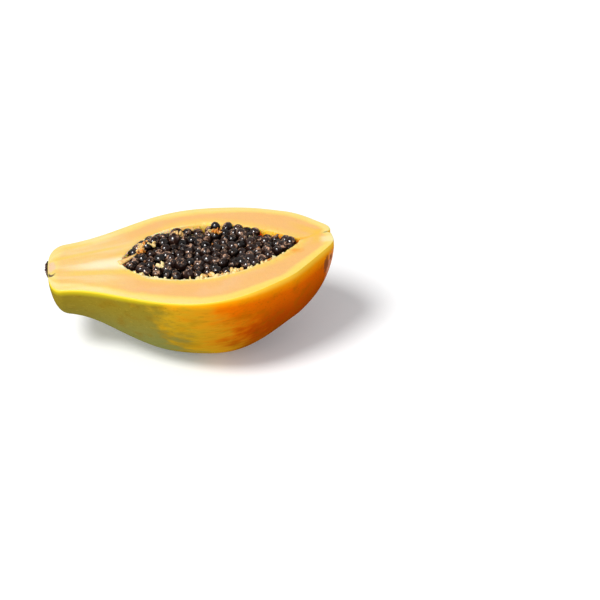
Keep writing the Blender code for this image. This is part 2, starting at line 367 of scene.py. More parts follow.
@dataclass(frozen=True)
class SkinFinish(Finish):
    """Waxy skin that ripens from green at the stem end to orange at the blossom end; painted shade
    darkens its underside.

    Places and lengths are in mm, in the fruit's own frame.
    """

    green: Colour = (0.228, 0.166, 0.014)
    low_green: Colour = (0.195, 0.205, 0.058)
    olive_gold: Colour = (0.44, 0.255, 0.010)
    tan_gold: Colour = (0.555, 0.225, 0.006)
    orange: Colour = (0.70, 0.145, 0.0006)
    deep_orange: Colour = (0.78, 0.135, 0.001)
    # Painted shade colours: red-brown and dark brown for the skin's underside.
    painted_shade_red: Colour = (0.31, 0.034, 0.001)
    painted_shade_brown: Colour = (0.10, 0.028, 0.002)
    mottle: Colour = (0.22, 0.105, 0.001)
    dark_streak: Colour = (0.11, 0.085, 0.002)
    light_streak: Colour = (0.60, 0.42, 0.06)
    fleck: Colour = (0.13, 0.06, 0.002)
    green_edge: Colour = (0.66, 0.55, 0.010)
    gold_edge: Colour = (0.97, 0.42, 0.003)
    pale_edge: Colour = (0.97, 0.61, 0.060)
    scar_brown: Colour = (0.20, 0.060, 0.020)
    scar_pale: Colour = (0.62, 0.36, 0.24)
    film_place: Triple = (172.5, -6.0, -15.0)
    film_factors: Triple = (0.16, 0.22, 0.10)
    scar_factors: Triple = (0.30, 0.40, 0.15)
    scar_places: tuple[tuple[Triple, float], ...] = (
        ((169.6, -10.9, -11.5), 1.20),
        ((172.6, -6.4, -8.5), 0.60),
    )
    green_end: float = 60.0
    ripening: float = 100.0
    low_delay: float = 17.0
    cloud_shift: float = 46.0
    line_shift: float = 36.0
    relief: float = 0.22 * MM

    def dress(self, graph: Graph, shader: bpy.types.Node) -> None:
        """Ripening bands, streaks, freckles, the scar of the flower and painted shade on the
        underside.
        """
        own = graph.attribute_vector("own")
        x, _, z = graph.split(own)
        rim = graph.attribute("rim")
        clouds = graph.noise(own, 0.045, 3.0) - 0.5
        lines = graph.streaks(own, (0.045, 0.32, 0.32), 5.0) - 0.5
        low = (-z).ramp(4.0, 46.0)
        ripe = x - self.green_end - low * self.low_delay
        ripe = (ripe + clouds * self.cloud_shift + lines * self.line_shift) / self.ripening
        stops = (
            (0.0, self.green),
            (0.15, self.olive_gold),
            (0.33, self.tan_gold),
            (0.52, self.orange),
            (1.0, self.deep_orange),
        )
        colour = graph.band(ripe, stops)
        unripe = ripe.ramp(0.16, -0.05)
        colour = graph.blend(low * unripe, colour, self.low_green)
        # Painted shade: the skin darkens to red-brown, then dark brown, towards its underside and
        # most under the far end, as the shade beneath the fruit.
        sunk = clouds * 8.0 - z
        under = sunk.ramp(3.0, 32.0)
        colour = graph.blend(under * ripe.ramp(0.30, 0.62) * 0.85, colour, self.painted_shade_red)
        shade = sunk.ramp(24.0, 56.0) * ripe.ramp(0.20, 0.45)
        far_end_shade = under * x.ramp(145.0, 168.0)
        colour = graph.blend((shade * 0.8 + far_end_shade * 0.35).least(0.85), colour, self.painted_shade_brown)
        colour = self._marks(graph, own, colour, ripe)
        edge_colour = graph.blend(ripe.ramp(0.02, 0.22), self.green_edge, self.gold_edge)
        wide = ripe.ramp(0.05, 0.35) * 2.6 + 4.3 - x.ramp(50.0, 88.0) * 1.7
        wide = wide + x.ramp(100.0, 160.0) * 6.0
        edge = (1.0 - rim / wide).most(0.0) ** 1.2
        colour = graph.blend(edge, colour, edge_colour)
        pale_edge = (rim / (x.ramp(105.0, 145.0) * 3.2 + 1.9)).ramp(1.0, 0.1)
        colour = graph.blend(pale_edge * 0.8, colour, self.pale_edge)
        colour = self._scar(graph, own, colour)
        graph.link(colour, shader.inputs["Base Color"])
        height = graph.noise(own, 1.3, 3.0) * 0.5 + lines * 0.7
        graph.link(graph.bump(height, self.relief, 0.7), shader.inputs["Normal"])
        graph.link(0.36 + clouds * 0.12 + lines * 0.10, shader.inputs["Roughness"])

    def _marks(self, graph: Graph, own: Any, colour: Any, ripe: Num) -> Any:
        """Adds mottling, dark and light streaks and small dark specks.

        Args:
            graph: the material's nodes.
            own: the place in the fruit's own frame.
            colour: the colour so far.
            ripe: how ripe the skin is there.

        Returns:
            The colour with the marks.
        """
        mottled = graph.streaks(own, (0.06, 0.16, 0.16), 6.0).ramp(0.46, 0.74)
        colour = graph.blend(mottled * 0.35, colour, self.mottle)
        dark = graph.streaks(own, (0.11, 1.0, 1.0), 5.0).ramp(0.52, 0.78)
        colour = graph.blend(dark * 0.36, colour, self.dark_streak)
        light = graph.streaks(own, (0.09, 1.3, 1.3), 4.0).ramp(0.58, 0.76)
        light_here = 0.22 - ripe.ramp(0.25, 0.55) * 0.20
        colour = graph.blend(light * light_here, colour, self.light_streak)
        fleck = graph.cells(own, 0.42).ramp(0.20, 0.06)
        fleck_here = graph.noise(own, 0.07).ramp(0.52, 0.66)
        return graph.blend(fleck * fleck_here * 0.5, colour, self.fleck)

    def _scar(self, graph: Graph, own: Any, colour: Any) -> Any:
        """Adds the dry scar of the flower at the blossom end.

        Args:
            graph: the material's nodes.
            own: the place in the fruit's own frame.
            colour: the colour so far.

        Returns:
            The colour with the scar.
        """
        ragged = graph.noise(own, 0.45, 5.0) - 0.5
        film = graph.away(own, self.film_place, self.film_factors) + ragged * 1.1
        colour = graph.blend(film.ramp(1.3, 0.5) * 0.55, colour, self.scar_pale)
        for place, width in self.scar_places:
            away = graph.away(own, place, self.scar_factors) + ragged * 1.6
            colour = graph.blend(away.ramp(width, width * 0.55) * 0.85, colour, self.scar_brown)
        return colour


@dataclass(frozen=True)
class FleshFinish(Finish):
    """The moist cut face: pale yellow under the skin, salmon within, yellow at the seeds.

    Places and lengths are in mm, in the fruit's own frame.
    """

    skin_line: Colour = (0.60, 0.55, 0.08)
    rim_pale: Colour = (0.89, 0.70, 0.23)
    rim_gold: Colour = (0.89, 0.66, 0.11)
    yellow: Colour = (0.88, 0.655, 0.165)
    golden: Colour = (0.875, 0.60, 0.105)
    salmon: Colour = (0.87, 0.485, 0.160)
    pink: Colour = (0.87, 0.505, 0.215)
    orange: Colour = (0.86, 0.37, 0.045)
    cream: Colour = (0.89, 0.79, 0.42)
    wood_pink: Colour = (0.87, 0.59, 0.36)
    core_gold: Colour = (0.87, 0.52, 0.055)
    core_cream: Colour = (0.90, 0.82, 0.53)
    bark: Colour = (0.060, 0.012, 0.006)
    crease_shade: Colour = (0.28, 0.20, 0.07)
    band_reach: float = 14.0
    blotches: tuple[tuple[Triple, float, float], ...] = (
        ((153.5, -9.9, 0.0), 3.2, 0.60),
        ((147.0, -13.5, 0.0), 2.2, 0.35),
        ((133.5, -18.6, 0.0), 1.6, 0.95),
        ((139.0, -15.6, 0.0), 1.3, 0.60),
        ((152.3, -9.0, 0.0), 1.8, 0.90),
    )
    blotch_factors: Triple = (0.6, 1.0, 0.0)
    wood_place: Triple = (4.4, 2.6, 0.0)
    wood_factors: Triple = (0.30, 0.17, 0.0)
    knot_place: Triple = (3.4, -7.0, 0.0)
    knot_factors: Triple = (0.55, 0.40, 0.0)
    patch_place: Triple = (167.0, 9.5, 0.0)
    patch_factors: Triple = (0.30, 0.20, 0.0)
    relief: float = 0.30 * MM

    def dress(self, graph: Graph, shader: bpy.types.Node) -> None:
        """Bands by the distance from the skin and from the seeds, and the neck's veins."""
        own = graph.attribute_vector("own")
        x, y, _ = graph.split(own)
        rim = graph.attribute("rim")
        lip = graph.attribute("lip")
        across = graph.attribute("across")
        drift = graph.noise(own, 0.05, 3.0) - 0.5
        fine = graph.noise(own, 0.45, 5.0) - 0.5
        flow = graph.noise(graph.join(x * 0.022, across * 3.4, 0.0), 1.0, 4.0) - 0.5
        inward = (rim + drift * 4.0 + flow * 5.0) * (1.15 + x.ramp(95.0, 150.0) * 0.55)
        inward = inward + fine * 1.5
        stops = (
            (0.0, self.rim_pale),
            (0.26, self.rim_pale),
            (0.46, self.yellow),
            (0.75, self.salmon),
            (1.0, self.salmon),
        )
        colour = graph.band(inward / self.band_reach, stops)
        ripe_rim = x.ramp(82.0, 122.0) * y.ramp(2.0, -12.0) * inward.ramp(9.0, 2.0)
        colour = graph.blend(ripe_rim * 0.85, colour, self.rim_gold)
        blush = (drift * 1.4 + flow * 1.2).ramp(0.0, 0.30) * rim.ramp(4.0, 11.0)
        colour = graph.blend(blush * 0.8, colour, self.pink)
        ripe_band = (rim - lip + fine * 4.0).size().ramp(9.0, 2.0) * x.ramp(146.0, 164.0)
        colour = graph.blend(ripe_band * y.ramp(-8.0, 2.0) * 0.70, colour, self.core_gold)
        colour = self._lip(graph, colour, x, y, lip + drift * 3.5 + flow * 4.0, fine)
        colour = self._neck(graph, colour, x, y, flow)
        colour = self._stem_end(graph, colour, own, fine)
        colour = self._blossom_end(graph, colour, x, y, fine)
        green = (rim + fine * 0.3).ramp(0.75, 0.30)
        colour = graph.blend(green * 0.7 * x.ramp(130.0, 90.0), colour, self.skin_line)
        graph.link(colour, shader.inputs["Base Color"])
        grain = graph.noise(own, 1.1, 4.0)
        height = grain * 0.4 + graph.noise(own, 0.25, 3.0) + flow * 0.6
        graph.link(graph.bump(height, self.relief, 0.55), shader.inputs["Normal"])
        graph.link(0.34 + fine * 0.25 + drift * 0.1, shader.inputs["Roughness"])

    def _neck(self, graph: Graph, colour: Any, x: Num, y: Num, flow: Num) -> Any:
        """Adds the long golden and pale veins that run up the neck.

        Args:
            graph: the material's nodes.
            colour: the colour so far.
            x: the place along the core.
            y: the place across the cut.
            flow: noise drawn out along the fruit.

        Returns:
            The colour with the veins.
        """
        here = (x + flow * 30.0).ramp(66.0, 34.0)
        veins = graph.blend((flow * 3.2).ramp(-0.55, 0.55), self.cream, self.golden)
        colour = graph.blend(here * 0.45, colour, veins)
        band = (y + x * 0.14 + 5.0 + flow * 7.0).size().ramp(4.2, 1.0)
        colour = graph.blend(band * x.ramp(8.0, 22.0) * x.ramp(84.0, 56.0) * 0.7, colour, self.golden)
        band = (y - x * 0.16 - 10.5 + flow * 6.0).size().ramp(2.6, 0.4)
        colour = graph.blend(band * x.ramp(5.0, 9.0) * x.ramp(58.0, 38.0) * 0.7, colour, self.golden)
        core_width = x / 46.0 * 6.6 + 0.8
        core = ((y + 1.0 + flow * 3.0).size() / core_width).ramp(1.4, 0.15)
        strength = core * x.ramp(5.0, 36.0) * x.ramp(62.0, 52.0)
        return graph.blend(strength * 0.95, colour, self.core_cream)

    def _lip(self, graph: Graph, colour: Any, x: Num, y: Num, lip: Num, fine: Num) -> Any:
        """Adds the golden band round the seeds, its cream edge and its orange blotches.

        Args:
            graph: the material's nodes.
            colour: the colour so far.
            x: the place along the core.
            y: the place across the cut.
            lip: the distance from the edge of the cavity.
            fine: fine noise.

        Returns:
            The colour with the band.
        """
        gold = (lip + fine * 2.0).ramp(8.0, 3.0)
        gold_here = y.ramp(14.0, -4.0) * 0.35 + 0.45
        colour = graph.blend(gold * gold_here, colour, self.golden)
        cream_here = (1.0 - x.ramp(112.0, 134.0) * 0.75) * y.ramp(6.0, -2.0)
        edge = (lip + fine * 2.6).ramp(3.4, 0.8)
        colour = graph.blend(edge * cream_here * 0.85, colour, self.cream)
        spots = fine.ramp(0.10, 0.25) * x.ramp(118.0, 136.0) * lip.ramp(9.0, 2.0)
        colour = graph.blend(spots * 0.8, colour, self.orange)
        place = graph.join(x, y, 0.0)
        for middle, width, strength in self.blotches:
            away = graph.away(place, middle, self.blotch_factors) / width + fine * 1.4
            colour = graph.blend(away.ramp(1.2, 0.3) * strength, colour, self.orange)
        return colour

    def _stem_end(self, graph: Graph, colour: Any, own: Any, fine: Num) -> Any:
        """Adds the pinkish wood where the stalk went in, and the bark line round it.

        Args:
            graph: the material's nodes.
            colour: the colour so far.
            own: the place in the fruit's own frame.
            fine: fine noise.

        Returns:
            The colour with the wood and the bark.
        """
        wood = graph.away(own, self.wood_place, self.wood_factors) + fine * 0.6
        colour = graph.blend(wood.ramp(1.25, 0.65) * 0.9, colour, self.wood_pink)
        x, y, _ = graph.split(own)
        curl = (y + 7.6 + (x - 5.0) * (x - 5.0) * -0.32 + fine * 3.4).size()
        hook = curl.ramp(1.5, 0.5) * (x + fine * 3.0).ramp(8.4, 6.0)
        knot = graph.away(own, self.knot_place, self.knot_factors)
        hook = hook.most((knot + fine * 1.5).ramp(1.2, 0.6))
        return graph.blend(hook * 0.9, colour, self.bark)

    def _blossom_end(self, graph: Graph, colour: Any, x: Num, y: Num, fine: Num) -> Any:
        """Adds the golden core line beyond the seeds and painted shade along the crease at the tip.

        Args:
            graph: the material's nodes.
            colour: the colour so far.
            x: the place along the core.
            y: the place across the cut.
            fine: fine noise.

        Returns:
            The colour with the core line and the painted shade in the crease.
        """
        line = y - 4.1 - (x - 158.0).most(0.0) ** 2.0 * 0.060
        core = (line + fine * 1.6).size().ramp(2.4, 0.3) * x.ramp(150.0, 158.0)
        colour = graph.blend(core * x.ramp(171.0, 167.5) * 0.85, colour, self.core_gold)
        place = graph.join(x, y, 0.0)
        patch = graph.away(place, self.patch_place, self.patch_factors) + fine * 1.5
        colour = graph.blend(patch.ramp(1.2, 0.2) * 0.75, colour, self.core_gold)
        near_tip = (line + fine * 0.8).size().ramp(1.6, 0.2) * x.ramp(147.0, 153.0)
        colour = graph.blend(near_tip * x.ramp(162.0, 157.0) * 0.8, colour, self.orange)
        pale = (y - 0.5 + fine * 2.0).size().ramp(5.0, 1.5) * x.ramp(166.0, 171.0)
        colour = graph.blend(pale * 0.7, colour, self.cream)
        # Painted shade: a dark line where the surface creases at the tip.
        crease_shade = (y - 8.4 - (x - 170.5) * 0.30 + fine * 0.8).size().ramp(0.95, 0.25)
        return graph.blend(crease_shade * x.ramp(169.6, 171.4) * 0.75, colour, self.crease_shade)


@dataclass(frozen=True)
class LiningFinish(Finish):
    """The wall of the seed cavity: pale at the lip, golden below, orange in the depth, partly its own
    colour and partly painted shade deep in the cavity.
    """

    stem_cream: Colour = (0.93, 0.84, 0.58)
    lip_yellow: Colour = (0.86, 0.55, 0.14)
    yellow: Colour = (0.94, 0.64, 0.13)
    golden: Colour = (0.93, 0.50, 0.030)
    orange: Colour = (0.75, 0.22, 0.010)
    band_reach: float = 16.0
    relief: float = 0.5 * MM

    def dress(self, graph: Graph, shader: bpy.types.Node) -> None:
        """Colour by the depth under the lip, darker partly as painted shade, with fibres along the
        wall.
        """
        own = graph.attribute_vector("own")
        x, _, _ = graph.split(own)
        lip = graph.attribute("lip")
        fibres = graph.streaks(own, (0.16, 0.6, 0.7), 5.0) - 0.5
        # Partly painted shade: the wall turns from yellow to deep orange with depth, partly its own
        # colour and partly the shade deep in the cavity.
        down = (lip + fibres * 6.0 + x.ramp(118.0, 150.0) * 11.0) / self.band_reach
        stops = (
            (0.0, self.lip_yellow),
            (0.22, self.yellow),
            (0.55, self.golden),
            (1.0, self.orange),
        )
        colour = graph.band(down, stops)
        colour = graph.blend((x + fibres * 40.0).ramp(96.0, 58.0) * 0.85, colour, self.stem_cream)
        graph.link(colour, shader.inputs["Base Color"])
        height = fibres + graph.noise(own, 0.8, 3.0)
        graph.link(graph.bump(height, self.relief, 0.7), shader.inputs["Normal"])


@dataclass(frozen=True)
class SeedFinish(Finish):
    """Nearly black seeds in thin, wet, brownish coats, with painted light on their tops; a few are
    pale and unripe.
    """

    black: Colour = (0.0030, 0.0016, 0.0016)
    brown: Colour = (0.026, 0.0105, 0.0075)
    film: Colour = (0.62, 0.36, 0.23)
    unripe: Colour = (0.72, 0.42, 0.20)
    unripe_shade: Colour = (0.30, 0.11, 0.035)
    fold_scale: float = 400.0
    patch_scale: float = 280.0
    wet_scale: float = 360.0
    wet_shift: Triple = (0.3, 0.1, 0.2)
    relief: float = 0.35 * MM

    def dress(self, graph: Graph, shader: bpy.types.Node) -> None:
        """Tone by the seed, with pale folds and patches of film, painted light on top, and a wet coat
        kept off the undersides as painted shade.
        """
        place = graph.object_place()
        tone = graph.attribute("tone")
        pale = graph.attribute("pale")
        up = graph.attribute("up")
        colour = graph.blend(tone, self.black, self.brown)
        folds = graph.noise(place, self.fold_scale, 4.0)
        ridge = (folds - 0.5).size().ramp(0.070, 0.0)
        patches = graph.noise(place, self.patch_scale, 3.0).ramp(0.49, 0.61)
        # Painted light: the film shows more on the upper side of each seed and a paler crown sits on
        # top, as if lit from above; the film itself is the seed's own coat.
        painted_top_light = up.ramp(0.45, 0.95)
        film = ridge * patches * (tone * 1.5 + 0.3) * up.ramp(0.1, 0.8)
        film = film + painted_top_light * patches * tone * 0.16
        colour = graph.blend(film.least(1.0), colour, self.film)
        pale_colour = graph.blend(folds.ramp(0.50, 0.72), self.unripe, self.unripe_shade)
        colour = graph.blend(pale, colour, pale_colour)
        graph.link(colour, shader.inputs["Base Color"])
        height = folds + ridge * 0.6
        graph.link(graph.bump(height, self.relief, 0.8), shader.inputs["Normal"])
        graph.link(0.24 + patches * 0.2, shader.inputs["Roughness"])
        elsewhere = graph.shifted(place, self.wet_shift)
        wet = graph.noise(elsewhere, self.wet_scale, 3.0).ramp(0.36, 0.50)
        # Painted shade: the wet coat is kept off the undersides, so they reflect nothing and stay
        # dark.
        graph.link((wet * 0.9 + 0.1) * up.ramp(0.25, 0.62), shader.inputs["Coat Weight"])


@dataclass(frozen=True)
class TissueFinish(Finish):
    """Torn seed tissue, from cream through orange to brown film, by its tone."""

    cream: Colour = (0.88, 0.74, 0.42)
    straw: Colour = (0.86, 0.58, 0.22)
    orange: Colour = (0.78, 0.26, 0.02)
    brown: Colour = (0.12, 0.065, 0.035)
    grain_scale: float = 800.0
    relief: float = 0.3 * MM

    def dress(self, graph: Graph, shader: bpy.types.Node) -> None:
        """One colour for each scrap, broken up by grain."""
        place = graph.object_place()
        grain = graph.noise(place, self.grain_scale, 4.0) - 0.5
        share = graph.attribute("tone") + grain * 0.45
        stops = ((0.0, self.cream), (0.3, self.straw), (0.6, self.orange), (1.0, self.brown))
        graph.link(graph.band(share, stops), shader.inputs["Base Color"])
        graph.link(graph.bump(grain, self.relief, 0.6), shader.inputs["Normal"])


@dataclass(frozen=True)
class PulpShadeFinish(Finish):
    """The wet pulp under the seeds, coloured near black as painted shade in the gaps between them."""

    dark: Colour = (0.012, 0.006, 0.005)
    brown: Colour = (0.060, 0.026, 0.014)
    grain_scale: float = 300.0
    relief: float = 0.8 * MM

    def dress(self, graph: Graph, shader: bpy.types.Node) -> None:
        """Mottled dark brown: painted shade between the seeds."""
        place = graph.object_place()
        grain = graph.noise(place, self.grain_scale, 4.0)
        colour = graph.blend(grain.ramp(0.4, 0.7), self.dark, self.brown)
        graph.link(colour, shader.inputs["Base Color"])
        graph.link(graph.bump(grain, self.relief, 0.8), shader.inputs["Normal"])


@dataclass(frozen=True)
class StalkFinish(Finish):
    """Dry bark round the pinkish wood of the cut stalk."""

    dark: Colour = (0.040, 0.015, 0.010)
    light: Colour = (0.30, 0.18, 0.12)
    wood: Colour = (0.87, 0.59, 0.36)
    grain_scale: float = 600.0
    relief: float = 0.8 * MM

    def dress(self, graph: Graph, shader: bpy.types.Node) -> None:
        """Bark outside and wood on the cut, with a ragged border."""
        place = graph.object_place()
        grain = graph.noise(place, self.grain_scale, 5.0)
        bark = graph.blend(grain.ramp(0.44, 0.68), self.dark, self.light)
        inside = (graph.attribute("wood") + (grain - 0.5) * 0.9).ramp(0.35, 0.65)
        graph.link(graph.blend(inside, bark, self.wood), shader.inputs["Base Color"])
        graph.link(graph.bump(grain, self.relief, 1.0), shader.inputs["Normal"])


@dataclass(frozen=True)
class FloorFinish(Finish):
    """A plain pale surface."""

    pale: Colour = (0.90, 0.90, 0.895)
    glow_colour: Colour = (0.90, 0.93, 1.0)
    glow: float = 0.14

    def dress(self, graph: Graph, shader: bpy.types.Node) -> None:
        """One pale colour, lit a little from within like a light table."""
        shader.inputs["Base Color"].default_value = (*self.pale, 1.0)
        shader.inputs["Emission Color"].default_value = (*self.glow_colour, 1.0)
        shader.inputs["Emission Strength"].default_value = self.glow


# The fruit's form


@dataclass(frozen=True)
class FruitForm:
    """The shape of the half in its own frame, in metres; the tables are in mm."""

    length: float = 175 * MM
    rest_pitch: float = math.radians(7.4)
    near_widths: tuple[float, ...] = (26, 25.5, 37.5, 50, 58.5, 59.5, 51, 30.5, 18)
    far_widths: tuple[float, ...] = (28, 30, 40, 52.5, 57, 54.5, 49.5, 37.5, 31.5)
    depths: tuple[float, ...] = (26, 28.5, 44.5, 57.5, 60.5, 63, 55, 42, 38)
    stem_round: Pair = (13 * MM, 2.6)
    blossom_round: Pair = (28 * MM, 2.0)
    cavity_start: float = 47.2 * MM
    cavity_end: float = 156.5 * MM
    cavity_drift: float = 3.7 * MM
    cavity_bluntness: float = 2.3
    near_lip: Triple = (29.7 * MM, 0.70, 0.81)
    far_lip: Triple = (36.5 * MM, 0.73, 1.14)
    cavity_floor: Triple = (30 * MM, 0.50, 0.60)
    flat_depth: float = 0.7 * MM
    near_swell: Triple = (152 * MM, 15 * MM, 3.0 * MM)
    swell_side: float = 25 * MM
    swell_start: float = 0.25
    swell_depth: float = 14 * MM
    stem_pull: float = 2.7 * MM
    stem_slant: float = 0.07
    stem_reach: float = 25 * MM
    tip_reach: float = 17 * MM
    tip_depth: float = 14 * MM
    tip_moves: tuple[Triple, ...] = (
        (16.5 * MM, 7.0 * MM, 3.2 * MM),
        (9.2 * MM, 1.4 * MM, -2.6 * MM),
        (-2.0 * MM, 9.0 * MM, 1.2 * MM),
    )

    def drawn(self, own: np.ndarray) -> np.ndarray:
        """The places with the slanting stem end and the creased blossom end worked in.

        Args:
            own: places on the plain form, in the fruit's own frame.

        Returns:
            The same places, moved along x near the two ends.
        """
        x, y, z = own.T
        near_stem = np.clip(1 - x / self.stem_reach, 0, 1.2) ** 2
        move = (self.stem_pull - self.stem_slant * y) * near_stem
        near_tip = np.clip(1 - (self.length - x) / self.tip_reach, 0, 1)
        near_tip = near_tip * np.exp(np.minimum(z, 0) / self.tip_depth)
        for middle, width, height in self.tip_moves:
            move += near_tip * height * np.exp(-(((y - middle) / width) ** 2))
        middle, width, height = self.near_swell
        swell = height * np.exp(-(((x - middle) / width) ** 2))
        swell *= np.clip(-y / self.swell_side - self.swell_start, 0, 1)
        swell *= np.exp(np.minimum(z, 0) / self.swell_depth)
        return own + np.stack([move, -swell, np.zeros_like(x)], 1)

    def profile(self, along: Any, controls: Sequence[float]) -> Any:
        """A uniform cubic B-spline over evenly spaced controls, in metres.

        Args:
            along: places from 0 to 1.
            controls: the heights at the stations, in mm.

        Returns:
            The height at each place.
        """
        first, last = 2 * controls[0] - controls[1], 2 * controls[-1] - controls[-2]
        ends = np.array([first, *controls, last])
        place = np.clip(along, 0.0, 1.0) * (len(controls) - 1)
        start = np.minimum(place.astype(int), len(controls) - 2)
        t = place - start
        weights = (
            (1 - t) ** 3,
            3 * t**3 - 6 * t**2 + 4,
            -3 * t**3 + 3 * t**2 + 3 * t + 1,
            t**3,
        )
        return sum(w * ends[start + i] for i, w in enumerate(weights)) / 6 * MM

    @staticmethod
    def rounding(distance: Any, reach: float, bluntness: float) -> Any:
        """How far an end has opened, from 0 at its tip to 1 at its reach.

        Args:
            distance: how far in from the tip, in metres.
            reach: where the end is fully open, in metres.
            bluntness: 2 gives an ellipse, more a squarer end.

        Returns:
            The opening at each distance.
        """
        inward = np.clip(1 - distance / reach, 0.0, 1.0)
        return np.maximum(1 - inward**bluntness, 0.0) ** (1 / bluntness)

    def extent(self, x: Any, controls: Sequence[float]) -> Any:
        """The fruit's half-width or depth at x.

        Args:
            x: places along the core, in metres.
            controls: the near widths, the far widths or the depths.

        Returns:
            The extent at each place, in metres.
        """
        x = np.asarray(x, float)
        ends = self.rounding(x, *self.stem_round)
        ends = ends * self.rounding(self.length - x, *self.blossom_round)
        return self.profile(x / self.length, controls) * ends

    def cavity_share(self, x: Any) -> Any:
        """How far along the cavity x lies, from 0 to 1."""
        return np.clip((x - self.cavity_start) / (self.cavity_end - self.cavity_start), 0.0, 1.0)

    def cavity_extent(self, x: Any, side: Triple) -> Any:
        """The cavity's half-width or depth at x.

        Args:
            x: places along the core, in metres.
            side: the near lip, the far lip or the floor.

        Returns:
            The extent at each place, in metres.
        """
        size, opening, closing = side
        widest = opening / (opening + closing)
        share = self.cavity_share(x)
        rise = (share / widest) ** opening
        return size * rise * ((1 - share) / (1 - widest)) ** closing

    def cavity_middle(self, x: Any) -> Any:
        """The y of the cavity's middle line at x."""
        return self.cavity_drift * self.cavity_share(x) ** 3

    def cavity_wall(self, x: float, z: float, side: Triple) -> float:
        """The cavity's half-width at x, at the height z below the cut face.

        Args:
            x: the place along the core, in metres.
            z: the height, negative under the cut face.
            side: the near or the far lip.

        Returns:
            The half-width in metres.
        """
        floor = self.cavity_extent(x, self.cavity_floor)
        sunk = min(max(-z / max(floor, MM), 0.0), 1.0)
        opening = (1 - sunk**self.cavity_bluntness) ** (1 / self.cavity_bluntness)
        return self.cavity_extent(x, side) * opening


class RestingPlace:
    """Turns points of the fruit's own frame into the row's frame."""

    def __init__(self, form: FruitForm) -> None:
        """Finds the move that fits the turned fruit to its CAD node's box.

        Args:
            form: the fruit's form.
        """
        samples = 4001
        self.matrix = np.array(Matrix.Rotation(-form.rest_pitch, 3, "Y"))
        x = np.linspace(0, form.length, samples)[1:-1]
        zero = np.zeros_like(x)
        keel = np.stack([x, zero, -form.extent(x, form.depths)], 1) @ self.matrix.T
        far = form.extent(x, form.far_widths).max()
        near = form.extent(x, form.near_widths).max()
        low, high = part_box("fruit_half")
        rim = np.stack([x, zero, zero], 1) @ self.matrix.T
        longest = max(keel[:, 0].max(), rim[:, 0].max())
        along = high.x - longest
        across = (low.y + high.y) / 2 - (far - near) / 2
        up = -keel[:, 2].min() - form.flat_depth
        self.move = np.array([along, across, up])
        log.info("the fruit's own origin lies at %s mm", np.round(self.move / MM, 2))

    def points(self, own: np.ndarray) -> np.ndarray:
        """Places in the row's frame."""
        return own @ self.matrix.T + self.move

    def point(self, own: Sequence[float]) -> Vector:
        """One place in the row's frame."""
        return Vector(self.points(np.array([own], float))[0])


def smooth_mesh(name: str, points: np.ndarray, faces: list[list[int]]) -> bpy.types.Object:
    """Makes a smooth-shaded object from points and faces, in the scene.

    Args:
        name: the piece's name.
        points: one row for each vertex, in metres.
        faces: the vertex numbers of each face.

    Returns:
        The new object.
    """
    mesh = bpy.data.meshes.new(name)
    mesh.from_pydata(points.tolist(), [], faces)
    mesh.shade_smooth()
    mesh.update()
    piece = bpy.data.objects.new(name, mesh)
    bpy.context.scene.collection.objects.link(piece)
    return piece


def store(mesh: bpy.types.Mesh, name: str, values: np.ndarray) -> None:
    """Stores one number or one vector for each vertex of a mesh.

    Args:
        mesh: the mesh to store on.
        name: the attribute's name.
        values: one number or one row of three for each vertex.
    """
    kind = "FLOAT_VECTOR" if values.ndim == 2 else "FLOAT"
    layer = mesh.attributes.new(name, kind, "POINT")
    key = "vector" if values.ndim == 2 else "value"
    layer.data.foreach_set(key, values.astype(np.float32).ravel())


def settle(piece: bpy.types.Object) -> None:
    """Turns a piece's modifiers into its own mesh.

    Args:
        piece: the object with the modifiers.
    """
    graph = bpy.context.evaluated_depsgraph_get()
    mesh = bpy.data.meshes.new_from_object(piece.evaluated_get(graph))
    piece.modifiers.clear()
    piece.data = mesh


def nearest(points: np.ndarray, line: np.ndarray) -> np.ndarray:
    """The distance from each point to a closed line, in the plane of the cut face.

    Args:
        points: rows of x and y.
        line: rows of x and y along the closed line.

    Returns:
        One distance for each point.
    """
    batch = 4000
    tiny = 1e-18
    step = np.roll(line, -1, axis=0) - line
    square = (step**2).sum(1) + tiny
    found = np.empty(len(points))
    for first in range(0, len(points), batch):
        gap = points[first : first + batch, None] - line
        share = np.clip((gap * step).sum(-1) / square, 0, 1)
        miss = gap - share[..., None] * step
        found[first : first + batch] = np.sqrt((miss**2).sum(-1).min(1))
    return found


